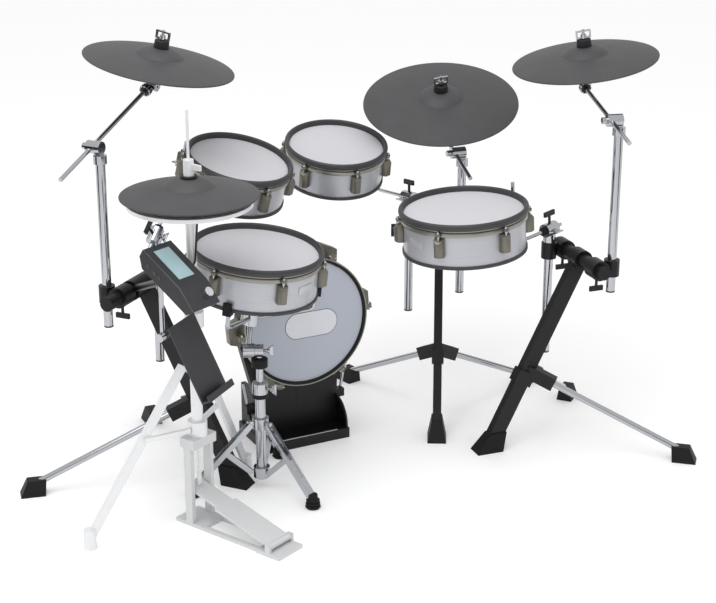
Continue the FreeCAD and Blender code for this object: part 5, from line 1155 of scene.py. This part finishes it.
for hand in (-1, 1):
    clamp = Vector((hand * SPUR_ASIDE, KICK_PLATE_MIDDLE, SPUR_HEIGHT))
    way = Vector((hand * SPUR_LEAN, 0, SPUR_LENGTH)).normalized()
    start = clamp + way * SPUR_CLAMP
    add_rod(shape, kick_ground @ stood(start, way), SPUR_RADIUS, SPUR_LENGTH - SPUR_CLAMP, SPUR_EDGE)
brights = made("kick_brights", shape, chrome)
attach(brights, "kit")

# Hi-hat stand: pale silver lacquered tubes, legs and rod on a light grey cast frame with its footboard.
# The photograph shows the stand faded, so both tones are far paler than the chrome of the rack.
pale_lacquer = coated("pale silver lacquer on steel", "#dfe0e2", "#eaebec", roughness=0.35,
                      lump_mm=1.4, depth_mm=0.03, edge_mm=1.2, metallic=0.25)
grey_lacquer = coated("light grey lacquer on cast alloy", "#c9cacb", "#d1d2d3", roughness=0.45,
                      lump_mm=1.4, depth_mm=0.04, edge_mm=1.2)
paint(pale_lacquer, "hat_tubes", "hat_legs", "hat_rod")
paint(grey_lacquer, "hat_frame", "hat_pedal")

# Hi-hat pad: the same grey rubber moulded over a stiff core as on the cymbals, with a narrower hole.
# Its clutch holds it on the pull rod, so it goes up and down with the footboard.
HAT_MIDDLE = Vector((-427.5, -467.8, 877)) * MM
HAT_RADIUS = 171 * MM
HAT_BORE = 3.65 * MM
hat_place = stood(HAT_MIDDLE, (0, 0, 1))
shape = bmesh.new()
add_lathe(shape, pad_profile(HAT_RADIUS, HAT_BORE), hat_place)
hat_skin = made("hat_skin", shape, pad_rubber("hat moulded grey rubber", hat_place, HAT_RADIUS))
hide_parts("hat_pad")
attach(hat_skin, "hat_pull")

# Clutch felt: a wide black washer on the bell, round the foot of the clutch, where it cushions the pad.
# It has the dull black finish of the washers on the cymbals.
HAT_FELT_RADIUS = 21 * MM
HAT_FELT_BORE = 13.4 * MM
HAT_FELT_HEIGHT = 7 * MM
shape = bmesh.new()
bell_top = BOW_RISE + BELL_RISE
add_ring(shape, hat_place, HAT_FELT_BORE, HAT_FELT_RADIUS, bell_top, bell_top + HAT_FELT_HEIGHT, WASHER_STEPS,
         SLEEVE_ROUND)
hat_felt = made("hat_felt", shape, washer_rubber)
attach(hat_felt, "hat_pull")

# Sound module: a moulded wedge of dark grey ABS on a black nylon mount, with the tablet holder below it.
# A pale glass screen and a turned metal dial are set into its top.
case_plastic = coated("dark grey moulded ABS", "#262629", "#303034", roughness=0.4,
                      lump_mm=0.9, depth_mm=0.04, edge_mm=2.0)
paint(case_plastic, "module_case", "tablet_holder")
paint(nylon, "module_mount")
screen_glass = coated("pale backlit screen glass", "#9dbcc3", "#b4d0d5", roughness=0.12,
                      lump_mm=30, depth_mm=0.01, edge_mm=0.3)
paint(screen_glass, "module_screen")
dial_metal = coated("turned aluminium", "#d5d6d9", "#e2e3e6", roughness=0.26,
                    lump_mm=0.6, depth_mm=0.02, edge_mm=1.0, metallic=1.0)
paint(dial_metal, "module_dial")

# Module trim: a grey metal strip on the left upper edge, a painted highlight where the case's edge catches
# the light, and three sockets in the side below it. The sockets are nickel plated brass, dulled by a fine
# brush;
# the strip shares their finish.
edge_highlight_and_socket_metal = coated("brushed nickel sockets and painted edge highlight", "#6d6e72", "#7b7c80", roughness=0.42,
                    lump_mm=0.6, depth_mm=0.02, edge_mm=0.8, metallic=1.0)
MODULE_MIDDLE = Vector((-438.5, -572.8, 716)) * MM
MODULE_AHEAD = Vector((0.667, -0.513, -0.54))
MODULE_ACROSS = Vector((0.6, 0.797, -0.01))
MODULE_HALF_LENGTH = 100 * MM
MODULE_HALF_WIDTH = 49 * MM
NOSE_LENGTH = 62 * MM
NOSE_DROP = 20 * MM
HIGHLIGHT_STRIP_WIDTH = 2 * MM
HIGHLIGHT_STRIP_THICKNESS = 1.6 * MM
HIGHLIGHT_STRIP_EDGE = HIGHLIGHT_STRIP_THICKNESS / 5
SOCKET_SPOTS = (-66 * MM, -40 * MM, -24 * MM)
SOCKET_DOWN = 24 * MM
SOCKET_RADIUS = 4.4 * MM
SOCKET_BORE = 2.4 * MM
SOCKET_PROUD = 1.4 * MM
SOCKET_EDGE = SOCKET_PROUD / 5
SOCKET_STEPS = 32
module_place = stood(MODULE_MIDDLE, MODULE_AHEAD.cross(MODULE_ACROSS), MODULE_AHEAD)
nose_run = math.hypot(NOSE_LENGTH, NOSE_DROP)
nose_start = MODULE_HALF_LENGTH - NOSE_LENGTH
deck_length = nose_start + MODULE_HALF_LENGTH
highlight_strip_side = -MODULE_HALF_WIDTH + HIGHLIGHT_STRIP_WIDTH / 2
shape = bmesh.new()
# The deck and nose strips are painted highlight: a lighter line for the light along the case's top edge.
deck = shifted(module_place, nose_start - deck_length / 2, highlight_strip_side, -HIGHLIGHT_STRIP_THICKNESS / 2)
add_block(shape, deck, deck_length, HIGHLIGHT_STRIP_WIDTH, HIGHLIGHT_STRIP_THICKNESS, HIGHLIGHT_STRIP_EDGE)
bend = shifted(module_place, nose_start, highlight_strip_side, -HIGHLIGHT_STRIP_THICKNESS / 2)
nose = shifted(turned(bend, math.atan2(NOSE_DROP, NOSE_LENGTH), "Y"), x=nose_run / 2)
add_block(shape, nose, nose_run, HIGHLIGHT_STRIP_WIDTH, HIGHLIGHT_STRIP_THICKNESS, HIGHLIGHT_STRIP_EDGE)
for spot in SOCKET_SPOTS:
    socket = turned(shifted(module_place, spot, -MODULE_HALF_WIDTH, -SOCKET_DOWN), FULL_TURN / 4, "X")
    add_ring(shape, socket, SOCKET_BORE, SOCKET_RADIUS, 0, SOCKET_PROUD, SOCKET_STEPS, SOCKET_EDGE)
module_edge_highlight_and_sockets = made("module_edge_highlight_and_sockets", shape, edge_highlight_and_socket_metal)
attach(module_edge_highlight_and_sockets, "kit")

# Hi-hat cable: a short lead in a black PVC jacket, smooth and softly glossy.
# It hangs from the lower disc of the hi-hat and plugs into the module below.
CABLE_DIAMETER = 5.5 * MM
CABLE_END = (-433.63, -504.669, 703.58)
CABLE_ROUTE = ((-407.5, -489.8, 853.8), (-408.5, -488.8, 825), (-412, -486.2, 780), (-416.2, -483.2, 737),
               (-417.1, -482.5, 716), (-424.6, -492.5, 703.5), CABLE_END)
cable_data = bpy.data.curves.new("hihat_lead", "CURVE")
cable_data.dimensions = "3D"
cable_data.bevel_depth = CABLE_DIAMETER / 2
cable_data.bevel_resolution = 6
cable_data.resolution_u = 12
cable_data.use_fill_caps = True
line = cable_data.splines.new("NURBS")
line.points.add(len(CABLE_ROUTE) - 1)
for knot, spot in zip(line.points, CABLE_ROUTE):
    knot.co = (*(Vector(spot) * MM), 1)
line.order_u = 3
line.use_endpoint_u = True
cable_jacket = coated("black PVC jacket", "#0d0d0d", "#151515", roughness=0.4,
                      lump_mm=1.2, depth_mm=0.02, edge_mm=0.2)
cable_data.materials.append(cable_jacket)
lead = linked("hihat_lead", cable_data)
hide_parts("hihat_cable")
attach(lead, "kit")
